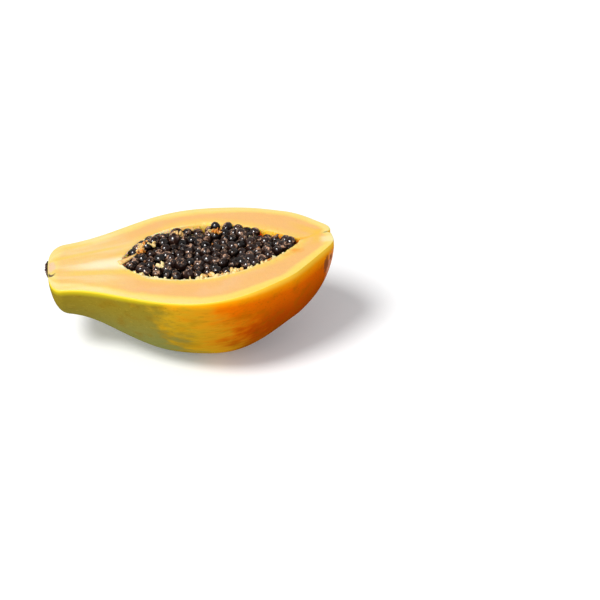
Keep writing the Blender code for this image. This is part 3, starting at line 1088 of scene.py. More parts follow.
class Tree:
    """What every geometry node tree here shares: named inputs, and a run on a piece."""

    def __init__(self, name: str, values: dict[str, float | int]) -> None:
        """Makes an empty tree with a socket for each named value.

        Args:
            name: the tree's name.
            values: the named inputs and what a modifier sets them to.
        """
        self.values = values
        self.tree = bpy.data.node_groups.new(name, "GeometryNodeTree")
        sockets = self.tree.interface
        sockets.new_socket("Geometry", in_out="INPUT", socket_type="NodeSocketGeometry")
        for label, value in values.items():
            kind = "NodeSocketInt" if isinstance(value, int) else "NodeSocketFloat"
            sockets.new_socket(label, in_out="INPUT", socket_type=kind)
        sockets.new_socket("Geometry", in_out="OUTPUT", socket_type="NodeSocketGeometry")
        self.graph = Graph(self.tree)
        self.given = self.graph.add("NodeGroupInput").outputs

    def value(self, label: str) -> Num:
        """One of the tree's named inputs."""
        return Num(self.graph, self.given[label])

    def stored(self, label: str, kind: str = "FLOAT") -> Any:
        """An attribute of the mesh, as an output."""
        settings = {"data_type": kind}
        node = self.graph.add("GeometryNodeInputNamedAttribute", settings, {"Name": label})
        return node.outputs["Attribute"]

    def pushed(self, geometry: Any, amount: Num) -> Any:
        """The geometry with each point moved along its normal.

        Args:
            geometry: the geometry's output.
            amount: how far each point moves, in metres.

        Returns:
            The moved geometry's output.
        """
        normal = self.graph.add("GeometryNodeInputNormal").outputs[0]
        inputs = {"Vector": normal, "Scale": amount}
        offset = self.graph.add("ShaderNodeVectorMath", {"operation": "SCALE"}, inputs)
        inputs = {"Geometry": geometry, "Offset": offset.outputs[0]}
        return self.graph.add("GeometryNodeSetPosition", None, inputs).outputs[0]

    def finish(self, geometry: Any, materials: Sequence[tuple[Any, Any]]) -> None:
        """Ends the tree: real geometry, smooth, with a material for each selection.

        Args:
            geometry: the geometry's output.
            materials: pairs of a selection and its material.
        """
        geometry = self.graph.add("GeometryNodeRealizeInstances", None, {0: geometry}).outputs[0]
        geometry = self.graph.add("GeometryNodeSetShadeSmooth", None, {0: geometry}).outputs[0]
        for chosen, material in materials:
            inputs = {"Geometry": geometry, "Selection": chosen, "Material": material}
            geometry = self.graph.add("GeometryNodeSetMaterial", None, inputs).outputs[0]
        self.graph.add("NodeGroupOutput", None, {0: geometry})

    def grow(self, piece: bpy.types.Object) -> None:
        """Runs the tree on a piece and keeps the result as its mesh.

        Args:
            piece: the object that the tree works on.
        """
        step = piece.modifiers.new(self.tree.name, "NODES")
        step.node_group = self.tree
        for item in self.tree.interface.items_tree:
            if item.in_out == "INPUT" and item.name in self.values:
                step[item.identifier] = self.values[item.name]
        settle(piece)


class ReliefTree(Tree):
    """Gives the fruit half its uneven skin, torn lip, fibrous wall and knife ripples."""

    def __init__(self, finishes: Sequence[tuple[Zone, Finish]]) -> None:
        """Builds the tree; its inputs are the relief heights in metres.

        Args:
            finishes: each zone with its finish.
        """
        heights = {
            "Skin Swell": 0.55 * MM,
            "Skin Grain": 0.10 * MM,
            "Lip Tear": 1.1 * MM,
            "Wall Fibres": 1.0 * MM,
            "Knife Ripple": 0.25 * MM,
        }
        super().__init__("fruit_relief", heights)
        graph = self.graph
        own = self.stored("own", "FLOAT_VECTOR")
        rim = Num(graph, self.stored("rim"))
        lip = Num(graph, self.stored("lip"))
        skin = Num(graph, self.stored("skin"))
        wall = Num(graph, self.stored("wall"))
        lift = Num(graph, self.stored("lift")).ramp(0.3, 4.0)
        lumps = graph.streaks(own, (0.014, 0.028, 0.028), 2.0)
        grain = graph.noise(own, 0.30, 3.0)
        sunk = self.value("Skin Swell") * lumps + self.value("Skin Grain") * grain
        torn = graph.noise(own, 0.34, 4.0) - 0.5
        at_lip = lip.ramp(2.6, 0.4)
        tear = self.value("Lip Tear") * torn * at_lip * 2.0
        fibres = graph.streaks(own, (0.10, 0.45, 0.45), 3.0) - 0.5
        ridges = self.value("Wall Fibres") * fibres * wall
        ripple = graph.streaks(own, (0.035, 0.11, 0.0), 2.0) - 0.8
        cut = self.value("Knife Ripple") * ripple * (1.0 - skin) * (1.0 - wall)
        near_rim = rim.ramp(0.0, 5.0)
        amount = tear + ridges + (cut - sunk * skin * lift) * near_rim
        zone = Num(graph, self.stored("zone"))
        materials = [
            ((zone - float(kind.value)).size().under(0.5), finish.material())
            for kind, finish in finishes
        ]
        self.finish(self.pushed(self.given["Geometry"], amount), materials)


class Shape(Enum):
    """The form that is copied onto each point."""

    BALL = "ball"
    CRUMB = "crumb"
    STRAND = "strand"


class CopyTree(Tree):
    """Sets a wrinkled copy of one small shape on each point of a piece."""

    def __init__(self, name: str, shape: Shape, finish: Finish, **values: float | int) -> None:
        """Builds the tree.

        Args:
            name: the tree's name.
            shape: what is copied.
            finish: the copies' finish.
            values: its named inputs: rings, wrinkle_height and wrinkles for every shape,
                sides for a ball or a strand, and bend for a strand.
        """
        super().__init__(name, values)
        fineness = {"Detail": 4.0, "Roughness": 0.62}
        noise_range = 3.0
        graph = self.graph
        copied = {
            Shape.BALL: self._ball,
            Shape.CRUMB: self._crumb,
            Shape.STRAND: self._strand,
        }[shape]()
        inputs = {
            "Points": self.given["Geometry"],
            "Instance": copied,
            "Rotation": self.stored("turn", "FLOAT_VECTOR"),
            "Scale": self.stored("size", "FLOAT_VECTOR"),
        }
        copies = graph.add("GeometryNodeInstanceOnPoints", None, inputs).outputs[0]
        copies = graph.add("GeometryNodeRealizeInstances", None, {0: copies}).outputs[0]
        spot = graph.add("GeometryNodeInputPosition").outputs[0]
        inputs = {"Vector": spot, "Scale": self.value("wrinkles"), **fineness}
        noise = Num(graph, graph.add("ShaderNodeTexNoise", None, inputs).outputs[0])
        push = (noise - 0.5) * self.value("wrinkle_height") * noise_range
        self.finish(self.pushed(copies, push), [(True, finish.material())])

    def _ball(self) -> Any:
        """A ball of radius 1."""
        inputs = {"Segments": self.given["sides"], "Rings": self.given["rings"], "Radius": 1.0}
        return self.graph.add("GeometryNodeMeshUVSphere", None, inputs).outputs["Mesh"]

    def _crumb(self) -> Any:
        """A faceted ball of radius 1."""
        inputs = {"Radius": 1.0, "Subdivisions": self.given["rings"]}
        return self.graph.add("GeometryNodeMeshIcoSphere", None, inputs).outputs["Mesh"]

    def _strand(self) -> Any:
        """A tapering, bent strand of length 1 along z.

        Returns:
            The strand's output.
        """
        inputs = {
            "Vertices": self.given["sides"],
            "Side Segments": self.given["rings"],
            "Fill Segments": 1,
            "Radius Top": 0.28,
            "Radius Bottom": 1.0,
            "Depth": 1.0,
        }
        cone = self.graph.add("GeometryNodeMeshCone", None, inputs).outputs["Mesh"]
        spot = self.graph.add("GeometryNodeInputPosition").outputs[0]
        _, _, height = self.graph.split(spot)
        offset = self.graph.join(self.value("bend") * height * height, 0.0, 0.0)
        inputs = {"Geometry": cone, "Offset": offset}
        return self.graph.add("GeometryNodeSetPosition", None, inputs).outputs[0]


@dataclass
class FruitHalf:
    """The flesh with its skin: one closed surface of skin, cut face and cavity wall."""

    form: FruitForm
    place: RestingPlace
    stations: int = 280
    skin_rows: int = 60
    cut_rows: int = 46
    wall_rows: int = 26
    corner_rows: int = 5
    rim_radius: float = 0.5 * MM
    near_lip_radius: float = 1.1 * MM
    far_lip_radius: float = 3.0 * MM
    least_lip_radius: float = 0.6 * MM
    lip_tip_share: float = 0.16
    rim_start: float = 0.6 * MM

    def build(self) -> bpy.types.Object:
        """Builds the whole surface, with its zones, its stored distances and its relief.

        Returns:
            The new piece.
        """
        form = self.form
        far = self._side(form.far_widths, form.far_lip, self.far_lip_radius, 1)
        near = self._side(form.near_widths, form.near_lip, self.near_lip_radius, -1)
        zones = self._row_zones()
        points, faces, kinds = self._stitch(far, near, zones)
        world = self.place.points(form.drawn(points))
        world[:, 2] = np.maximum(world[:, 2], 0.0)
        piece = smooth_mesh("papaya_half", world, faces)
        self._store(piece.data, points, world, np.array(kinds))
        skin = SkinFinish("papaya_skin", specular=0.0)
        flesh = FleshFinish(
            "papaya_flesh", coat=0.10, coat_roughness=0.25, specular=0.4, inside_light=0.25
        )
        lining = LiningFinish(
            "papaya_lining", roughness=0.5, specular=0.3, inside_light=1.0, light_scale=9 * MM
        )
        finishes = ((Zone.SKIN, skin), (Zone.FLESH, flesh), (Zone.LINING, lining))
        ReliefTree(finishes).grow(piece)
        return piece

    def _even_stations(self, start: float, end: float, widths: Any) -> np.ndarray:
        """Places along x, evenly spaced along the curve that widths draws.

        Args:
            start: the first place, in metres.
            end: the last place.
            widths: gives the half-width at each place.

        Returns:
            One place for each station.
        """
        samples = 4000
        fine = (start + end) / 2 - (end - start) / 2 * np.cos(np.linspace(0, np.pi, samples))
        run = np.hypot(np.diff(fine), np.diff(widths(fine))).cumsum()
        run = np.concatenate([[0.0], run])
        return np.interp(np.linspace(0, run[-1], self.stations), run, fine)

    def _rim_line(self, controls: Sequence[float], sign: int) -> np.ndarray:
        """The edge of the cut face on one side.

        Args:
            controls: the widths of that side.
            sign: 1 for the far side, -1 for the near one.

        Returns:
            Rows of x and y.
        """
        form = self.form
        edge = 1e-7
        mean = np.add(form.near_widths, form.far_widths) / 2
        x = self._even_stations(edge, form.length - edge, lambda v: form.extent(v, mean))
        y = form.extent(x, controls)
        y[0] = y[-1] = self.rim_start
        return np.stack([x, sign * np.maximum(y, self.rim_start)], 1)

    def _lip_line(self, side: Triple, sign: int) -> np.ndarray:
        """The edge of the cavity on one side.

        Args:
            side: the near or the far lip.
            sign: 1 for the far side, -1 for the near one.

        Returns:
            Rows of x and y.
        """
        form = self.form
        edge = 0.05 * MM
        start, end = form.cavity_start + edge, form.cavity_end - edge
        mean = tuple(np.add(form.near_lip, form.far_lip) / 2)
        x = self._even_stations(start, end, lambda v: form.cavity_extent(v, mean))
        return np.stack([x, form.cavity_middle(x) + sign * form.cavity_extent(x, side)], 1)

    @staticmethod
    def _outward(line: np.ndarray, sign: int) -> np.ndarray:
        """Unit directions out of the line's side, in the plane.

        Args:
            line: rows of x and y.
            sign: 1 for the far side, -1 for the near one.

        Returns:
            Rows of x and y.
        """
        along = np.gradient(line, axis=0)
        along /= np.linalg.norm(along, axis=1)[:, None] + 1e-12
        return np.stack([-along[:, 1], along[:, 0]], 1) * sign

    def _lip_radii(self, lip: np.ndarray, radius: float) -> np.ndarray:
        """The lip's rounding at each station, smaller towards the cavity's tips.

        Args:
            lip: the lip's line.
            radius: the rounding along its middle.

        Returns:
            One radius for each station.
        """
        share = self.form.cavity_share(lip[:, 0])
        room = np.clip(np.minimum(share, 1 - share) / self.lip_tip_share, 0.0, 1.0)
        return self.least_lip_radius + (radius - self.least_lip_radius) * room

    def _side(
        self,
        controls: Sequence[float],
        lip_side: Triple,
        lip_radius: float,
        sign: int,
    ) -> np.ndarray:
        """One side of the half: rows from the keel over the rim to the cavity floor.

        Args:
            controls: the widths of that side.
            lip_side: the cavity's lip on that side.
            lip_radius: the lip's rounding.
            sign: 1 for the far side, -1 for the near one.

        Returns:
            Points as station by row by 3.
        """
        form = self.form
        rim = self._rim_line(controls, sign)
        lip = self._lip_line(lip_side, sign)
        depth = np.maximum(form.extent(rim[:, 0], form.depths), self.rim_start)
        rim_out = self._outward(rim, sign)
        lip_out = self._outward(lip, sign)
        radii = self._lip_radii(lip, lip_radius)
        quarter = math.pi / 2
        rows: list[np.ndarray] = []

        def level(xy: np.ndarray, z: Any) -> None:
            """Adds a row from places in the plane and one height or many."""
            rows.append(np.column_stack([xy, np.broadcast_to(z, len(xy))]))

        last = np.arccos(np.clip(self.rim_radius / depth, 0, 1))
        for row in range(self.skin_rows):
            angle = last * row / (self.skin_rows - 1)
            y = rim[:, 1] * np.sin(angle)
            rows.append(np.column_stack([rim[:, 0], y, -depth * np.cos(angle)]))
        for step in range(1, self.corner_rows + 1):
            angle = quarter * step / self.corner_rows
            inset = self.rim_radius * (1 - math.cos(angle))
            level(rim - rim_out * inset, -self.rim_radius * (1 - math.sin(angle)))
        outer = rim - rim_out * self.rim_radius
        inner = lip + lip_out * radii[:, None]
        for row in range(1, self.cut_rows):
            share = row / self.cut_rows
            share = 0.5 * share + 0.5 * (0.5 - 0.5 * math.cos(math.pi * share))
            level(outer + (inner - outer) * share, 0.0)
        for step in range(self.corner_rows + 1):
            angle = quarter * step / self.corner_rows
            inset = radii * (1 - math.sin(angle))
            level(lip + lip_out * inset[:, None], -radii * (1 - math.cos(angle)))
        rows += self._wall_rows(lip, radii)
        return np.stack(rows, 1)

    def _row_zones(self) -> list[int]:
        """The zone of the strip between each two rows.

        Returns:
            The zones' numbers, from the keel to the cavity floor.
        """
        outer_corner = self.corner_rows // 2
        skin = self.skin_rows - 1 + outer_corner
        flesh = self.corner_rows - outer_corner + self.cut_rows + self.corner_rows // 2
        rows = self.skin_rows + 2 * self.corner_rows + self.cut_rows + self.wall_rows
        kinds = [Zone.SKIN.value] * skin + [Zone.FLESH.value] * flesh
        return kinds + [Zone.LINING.value] * (rows - 1 - len(kinds))

    def _wall_rows(self, lip: np.ndarray, radii: np.ndarray) -> list[np.ndarray]:
        """Rows down the cavity wall, from under the lip to the floor.

        Args:
            lip: the lip's line.
            radii: its rounding at each station.

        Returns:
            The rows, each with one point for each station.
        """
        form = self.form
        least_depth = 1.5 * radii
        middle = form.cavity_middle(lip[:, 0])
        floor = np.maximum(form.cavity_extent(lip[:, 0], form.cavity_floor), least_depth)
        power = 2 / form.cavity_bluntness
        start = np.arcsin(np.clip(radii / floor, 0, 1) ** (1 / power))
        rows = []
        for row in range(1, self.wall_rows + 1):
            angle = start + (math.pi / 2 - start) * row / self.wall_rows
            y = middle + (lip[:, 1] - middle) * np.abs(np.cos(angle)) ** power
            if row == self.wall_rows:
                y = middle
            rows.append(np.column_stack([lip[:, 0], y, -floor * np.sin(angle) ** power]))
        return rows

    def _stitch(
        self, far: np.ndarray, near: np.ndarray, zones: list[int]
    ) -> tuple[np.ndarray, list[list[int]], list[int]]:
        """Joins the two sides along the keel, the cavity floor and the ends.

        Args:
            far: the far side's points, as station by row by 3.
            near: the near side's points.
            zones: the zone of the strip between each two rows.

        Returns:
            The points, the faces and the zone of each face.
        """
        count, rows = far.shape[:2]
        points = np.concatenate([far.reshape(-1, 3), near.reshape(-1, 3)])
        far_id = np.arange(count * rows).reshape(count, rows)
        near_id = far_id + count * rows
        near_id[:, 0] = far_id[:, 0]
        near_id[:, -1] = far_id[:, -1]
        faces: list[list[int]] = []
        kinds: list[int] = []

        def add(corners: list[int], zone: int) -> None:
            """Adds a face, without repeated corners.

            Args:
                corners: the points' numbers.
                zone: the face's zone.
            """
            kept = list(dict.fromkeys(corners))
            if len(kept) > 2:
                faces.append([int(corner) for corner in kept])
                kinds.append(zone)

        for row in range(rows - 1):
            for i in range(count - 1):
                a, b = far_id[i, row], far_id[i + 1, row]
                add([a, b, far_id[i + 1, row + 1], far_id[i, row + 1]], zones[row])
                a, b = near_id[i + 1, row], near_id[i, row]
                add([a, b, near_id[i, row + 1], near_id[i + 1, row + 1]], zones[row])
            for i, order in ((0, 1), (count - 1, -1)):
                ends = [far_id[i, row], far_id[i, row + 1], near_id[i, row + 1]]
                add((ends + [near_id[i, row]])[::order], zones[row])
        used = np.unique(np.concatenate([np.array(face) for face in faces]))
        number = np.full(len(points), -1)
        number[used] = np.arange(len(used))
        faces = [[int(number[corner]) for corner in face] for face in faces]
        return points[used], faces, kinds

    def _store(
        self, mesh: bpy.types.Mesh, points: np.ndarray, world: np.ndarray, kinds: np.ndarray
    ) -> None:
        """Stores what the relief and the finishes read, with lengths in mm.

        Args:
            mesh: the fruit's mesh.
            points: its points in the fruit's own frame.
            world: the same points in the row's frame.
            kinds: the zone of each face.
        """
        form = self.form
        rim_far = self._rim_line(form.far_widths, 1)
        rim_near = self._rim_line(form.near_widths, -1)[::-1]
        lip_far = self._lip_line(form.far_lip, 1)
        lip_near = self._lip_line(form.near_lip, -1)[::-1]
        rim = nearest(points[:, :2], np.concatenate([rim_far, rim_near]))
        lip = nearest(points[:, :2], np.concatenate([lip_far, lip_near]))
        below = np.maximum(-points[:, 2], 0)
        widths = np.where(
            points[:, 1] > 0,
            form.extent(points[:, 0], form.far_widths),
            form.extent(points[:, 0], form.near_widths),
        )
        store(mesh, "own", form.drawn(points) / MM)
        store(mesh, "rim", np.hypot(rim, below) / MM)
        store(mesh, "lip", np.hypot(lip, below) / MM)
        store(mesh, "across", points[:, 1] / np.maximum(widths, self.rim_start))
        store(mesh, "lift", world[:, 2] / MM)
        zone_of_point = np.zeros(len(points))
        corners = np.empty(len(mesh.loops), dtype=np.int32)
        mesh.loops.foreach_get("vertex_index", corners)
        sizes = np.empty(len(mesh.polygons), dtype=np.int32)
        mesh.polygons.foreach_get("loop_total", sizes)
        np.maximum.at(zone_of_point, corners, np.repeat(kinds, sizes))
        store(mesh, "skin", (zone_of_point == Zone.SKIN.value).astype(float))
        store(mesh, "wall", (zone_of_point == Zone.LINING.value).astype(float))
        layer = mesh.attributes.new("zone", "FLOAT", "FACE")
        layer.data.foreach_set("value", kinds.astype(np.float32))


def point_piece(
    name: str, places: np.ndarray, stored: dict[str, np.ndarray]
) -> bpy.types.Object:
    """A piece of loose points with stored values, ready for a CopyTree.

    Args:
        name: the piece's name.
        places: the points, in the row's frame.
        stored: the value of each point, by attribute name.

    Returns:
        The new piece.
    """
    piece = smooth_mesh(name, places, [])
    for label, values in stored.items():
        store(piece.data, label, np.asarray(values, float))
    return piece


@dataclass
class SeedHeap:
    """The seeds in the cavity, in the places that the CAD node gives them."""

    form: FruitForm
    place: RestingPlace
    radius: float = 3.1 * MM
    spread: float = 0.3 * MM
    lengthening: float = 1.12
    spacing: float = 6.3 * MM
    wall_gap: float = 0.7 * MM
    stem_tip: float = 7.5 * MM
    blossom_tip: float = 8.5 * MM
    jitter: float = 0.25
    edge_room: float = 0.4
    level: float = -1.0 * MM
    far_sink: float = 4.0 * MM
    sink_reach: float = 30 * MM
    unevenness: float = 1.1 * MM
    clump_place: Pair = (107 * MM, 29 * MM)
    clump_reach: float = 9 * MM
    clump_rise: float = 4.0 * MM
    rounds: int = 60
    draw_seed: int = 27
    lower_drop: float = 4.6 * MM
    shuffle: float = 0.9 * MM
    size_range: Pair = (0.96, 1.17)
    wrinkle_height: float = 0.34 * MM
    wrinkles: float = 430.0
    unripe_places: tuple[Pair, ...] = ((81.0 * MM, 24.0 * MM),)
    unripe_shrink: float = 0.18
    bed_inset: float = 4 * MM
    bed_drop: float = 5.5 * MM
    bed_gap: float = 0.8 * MM
    bed_thickness: float = 4 * MM
    bed_columns: int = 60
    bed_rows: int = 40
    heap_across: float = 1.2
    heaps: tuple[tuple[float, ...], ...] = (
        (120 * MM, 22 * MM, 14 * MM, 2.6 * MM, 0.5 * MM, 0.0),
        (70 * MM, 20 * MM, 14 * MM, 3.6 * MM, 0.8 * MM, 0.0),
        (146 * MM, 9 * MM, 9 * MM, -1.2 * MM, -2.2 * MM, 0.0),
        (150 * MM, 6 * MM, 6 * MM, 0.8 * MM, -0.8 * MM, 5.4 * MM),
    )

    def seed_level(self, x: float, y: float) -> float:
        """The height of a seed's centre, sinking to the far wall but for one clump.

        Args:
            x: the place along the core, in metres.
            y: the place across the cut.

        Returns:
            The height over the cut face.
        """
        towards_wall = min(max(y / self.sink_reach, 0.0), 1.0)
        dx, dy = x - self.clump_place[0], y - self.clump_place[1]
        away = math.hypot(dx, dy) / self.clump_reach
        clump = self.clump_rise * max(1 - away**2, 0.0)
        return self.level - self.far_sink * towards_wall**1.5 + clump

    def _inner_edge(self, x: float, z: float, side: Any, reach: float) -> float:
        """The half-width left at x for a seed's middle that keeps reach off the wall.

        Args:
            x: the place along the core, in metres.
            z: the height, negative under the cut face.
            side: the near or the far lip.
            reach: the room that the seed needs.

        Returns:
            The half-width in metres.
        """
        step = 1 * MM
        wall = self.form.cavity_wall
        slope = wall(x + step, z, side) - wall(x - step, z, side)
        return wall(x, z, side) - reach * math.hypot(1, slope / (2 * step))

    def _keep_inside(self, seed: list[float]) -> None:
        """Moves a seed off the wall.

        Args:
            seed: its x, y, unevenness and radius; x and y are changed.
        """
        form = self.form
        reach = seed[3] * self.lengthening + self.wall_gap
        first, last = form.cavity_start + self.stem_tip, form.cavity_end - self.blossom_tip
        seed[0] = min(max(seed[0], first), last)
        x = seed[0]
        under = self.seed_level(x, seed[1]) + seed[2] - seed[3]
        middle = form.cavity_middle(x)
        highest = middle + self._inner_edge(x, under, form.far_lip, reach)
        lowest = middle - self._inner_edge(x, under, form.near_lip, reach)
        if lowest > highest:
            lowest = highest = (lowest + highest) / 2
        seed[1] = min(max(seed[1], lowest), highest)

    def _push_apart(self, seeds: list[list[float]]) -> None:
        """One round of easing apart the seeds that stand too close.

        Args:
            seeds: each seed's x, y, unevenness and radius; x and y are changed.
        """
        for i, one in enumerate(seeds):
            for other in seeds[:i]:
                dx, dy = one[0] - other[0], one[1] - other[1]
                if abs(dx) > self.spacing or abs(dy) > self.spacing:
                    continue
                apart = math.hypot(dx, dy)
                if 0 < apart < self.spacing:
                    push = 0.5 * (self.spacing - apart) / apart
                    one[0] += dx * push
                    one[1] += dy * push
                    other[0] -= dx * push
                    other[1] -= dy * push
        for seed in seeds:
            self._keep_inside(seed)

    def layer(self, draw_seed: int) -> np.ndarray:
        """One layer of seeds side by side.

        Args:
            draw_seed: the seed of the random numbers.

        Returns:
            Rows of x, y, z and radius, in the fruit's own frame.
        """
        form = self.form
        draw = random.Random(draw_seed)
        seeds = []
        row_step = self.spacing * math.sqrt(3) / 2
        rows = int((form.cavity_end - form.cavity_start) / row_step)
        for row in range(rows + 1):
            x = form.cavity_start + (row + 0.5) * row_step
            middle = form.cavity_middle(x)
            highest = middle + form.cavity_extent(x, form.far_lip)
            y = middle - form.cavity_extent(x, form.near_lip)
            y += self.spacing * (0.5 + 0.5 * (row % 2))
            while y < highest - self.edge_room * self.spacing:
                jitter = [draw.uniform(-1, 1) * self.jitter * self.spacing for _ in range(2)]
                uneven = draw.uniform(-1, 1) * self.unevenness
                radius = self.radius + draw.uniform(-1, 1) * self.spread
                seeds.append([x + jitter[0], y + jitter[1], uneven, radius])
                y += self.spacing
        for _ in range(self.rounds):
            self._push_apart(seeds)
        return np.array([(x, y, self.seed_level(x, y) + uneven, r) for x, y, uneven, r in seeds])

    def build(self) -> list[bpy.types.Object]:
        """Builds the seeds of both layers and the bed under them.

        Returns:
            The three new pieces.
        """
        finish = SeedFinish("papaya_seeds", coat_roughness=0.12, coat_ior=1.63, specular=0.0)
        upper = self.layer(self.draw_seed)
        top = self._seeds("papaya_seeds", upper, finish, self.unripe_places, 16, 10)
        lower = self.layer(self.draw_seed + 1)
        lower[:, 2] -= self.lower_drop
        under = self._seeds("papaya_seeds_below", lower, finish, (), 8, 6)
        return [top, under, self._bed()]

    def _seeds(
        self,
        name: str,
        seeds: np.ndarray,
        finish: Finish,
        unripe_places: Sequence[Pair],
        sides: int,
        rings: int,
    ) -> bpy.types.Object:
        """One layer as a piece, each seed with its own size, turn and tone.

        Args:
            name: the piece's name.
            seeds: rows of x, y, z and radius.
            finish: the seeds' finish.
            unripe_places: where the pale seeds lie.
            sides: the faces round a seed.
            rings: the faces from its top to its foot.

        Returns:
            The new piece.
        """
        draw = np.random.default_rng(self.draw_seed)
        count = len(seeds)
        own = seeds[:, :3] + draw.uniform(-1, 1, (count, 3)) * self.shuffle
        for along, across, reach, rise, aside, ahead in self.heaps:
            aside_gap = (own[:, 1] - across) * self.heap_across
            away = np.hypot(own[:, 0] - along, aside_gap) / reach
            near = np.exp(-(away**2))
            own += near[:, None] * np.array((ahead, aside, rise))
        sizes = seeds[:, 3:] * draw.uniform(*self.size_range, (count, 3))
        sizes[:, 2] *= self.lengthening
        unripe = np.zeros(count)
        for x, y in unripe_places:
            unripe[np.hypot(own[:, 0] - x, own[:, 1] - y).argmin()] = 1.0
        sizes *= (1 - self.unripe_shrink * unripe)[:, None]
        stored = {
            "size": sizes,
            "turn": draw.uniform(0, 2 * math.pi, (count, 3)),
            "tone": draw.random(count),
            "pale": unripe,
        }
        piece = point_piece(name, self.place.points(own), stored)
        values = {"sides": sides, "rings": rings}
        values |= {"wrinkle_height": self.wrinkle_height, "wrinkles": self.wrinkles}
        CopyTree(name, Shape.BALL, finish, **values).grow(piece)
        # The upward part of each normal, read by the seed finish to paint light on the seeds' tops
        # and shade under them.
        normals = np.empty(3 * len(piece.data.vertices))
        piece.data.vertices.foreach_get("normal", normals)
        store(piece.data, "up", normals[2::3])
        log.info("%s: %d seeds", name, count)
        return piece

    def _bed(self) -> bpy.types.Object:
        """The wet pulp under the seeds, a near-black slab of painted shade that reaches to the
        cavity's walls.

        Returns:
            The new piece.
        """
        form = self.form
        drop = self.bed_drop
        start, end = form.cavity_start + self.bed_inset, form.cavity_end - self.bed_inset
        points = []
        for x in np.linspace(start, end, self.bed_columns):
            edge = [
                form.cavity_middle(x) + sign * (form.cavity_wall(x, -drop, side) - self.bed_gap)
                for sign, side in ((-1, form.near_lip), (1, form.far_lip))
            ]
            for share in np.linspace(0, 1, self.bed_rows):
                y = edge[0] + (edge[1] - edge[0]) * share
                points.append((x, y, self.seed_level(x, y) - drop))
        rows = self.bed_rows
        faces = [
            [i * rows + j, (i + 1) * rows + j, (i + 1) * rows + j + 1, i * rows + j + 1]
            for i in range(self.bed_columns - 1)
            for j in range(rows - 1)
        ]
        piece = smooth_mesh("papaya_seed_bed", self.place.points(np.array(points)), faces)
        solid = piece.modifiers.new("thickness", "SOLIDIFY")
        solid.thickness = self.bed_thickness
        solid.offset = -1.0
        settle(piece)
        piece.data.materials.clear()
        # Near-black pulp: painted shade in the gaps between the seeds.
        finish = PulpShadeFinish("papaya_seed_pulp_shade", roughness=0.4, coat=0.5)
        piece.data.materials.append(finish.material())
        return piece


@dataclass(frozen=True)
class CrumbRow:
    """Crumbs along one lip: how many, on which stretch, and their ranges in mm."""

    count: int
    near: bool
    stretch: Pair | None
    moves: tuple[Triple, Triple]
    sizes: tuple[Triple, Triple]
    tones: Pair


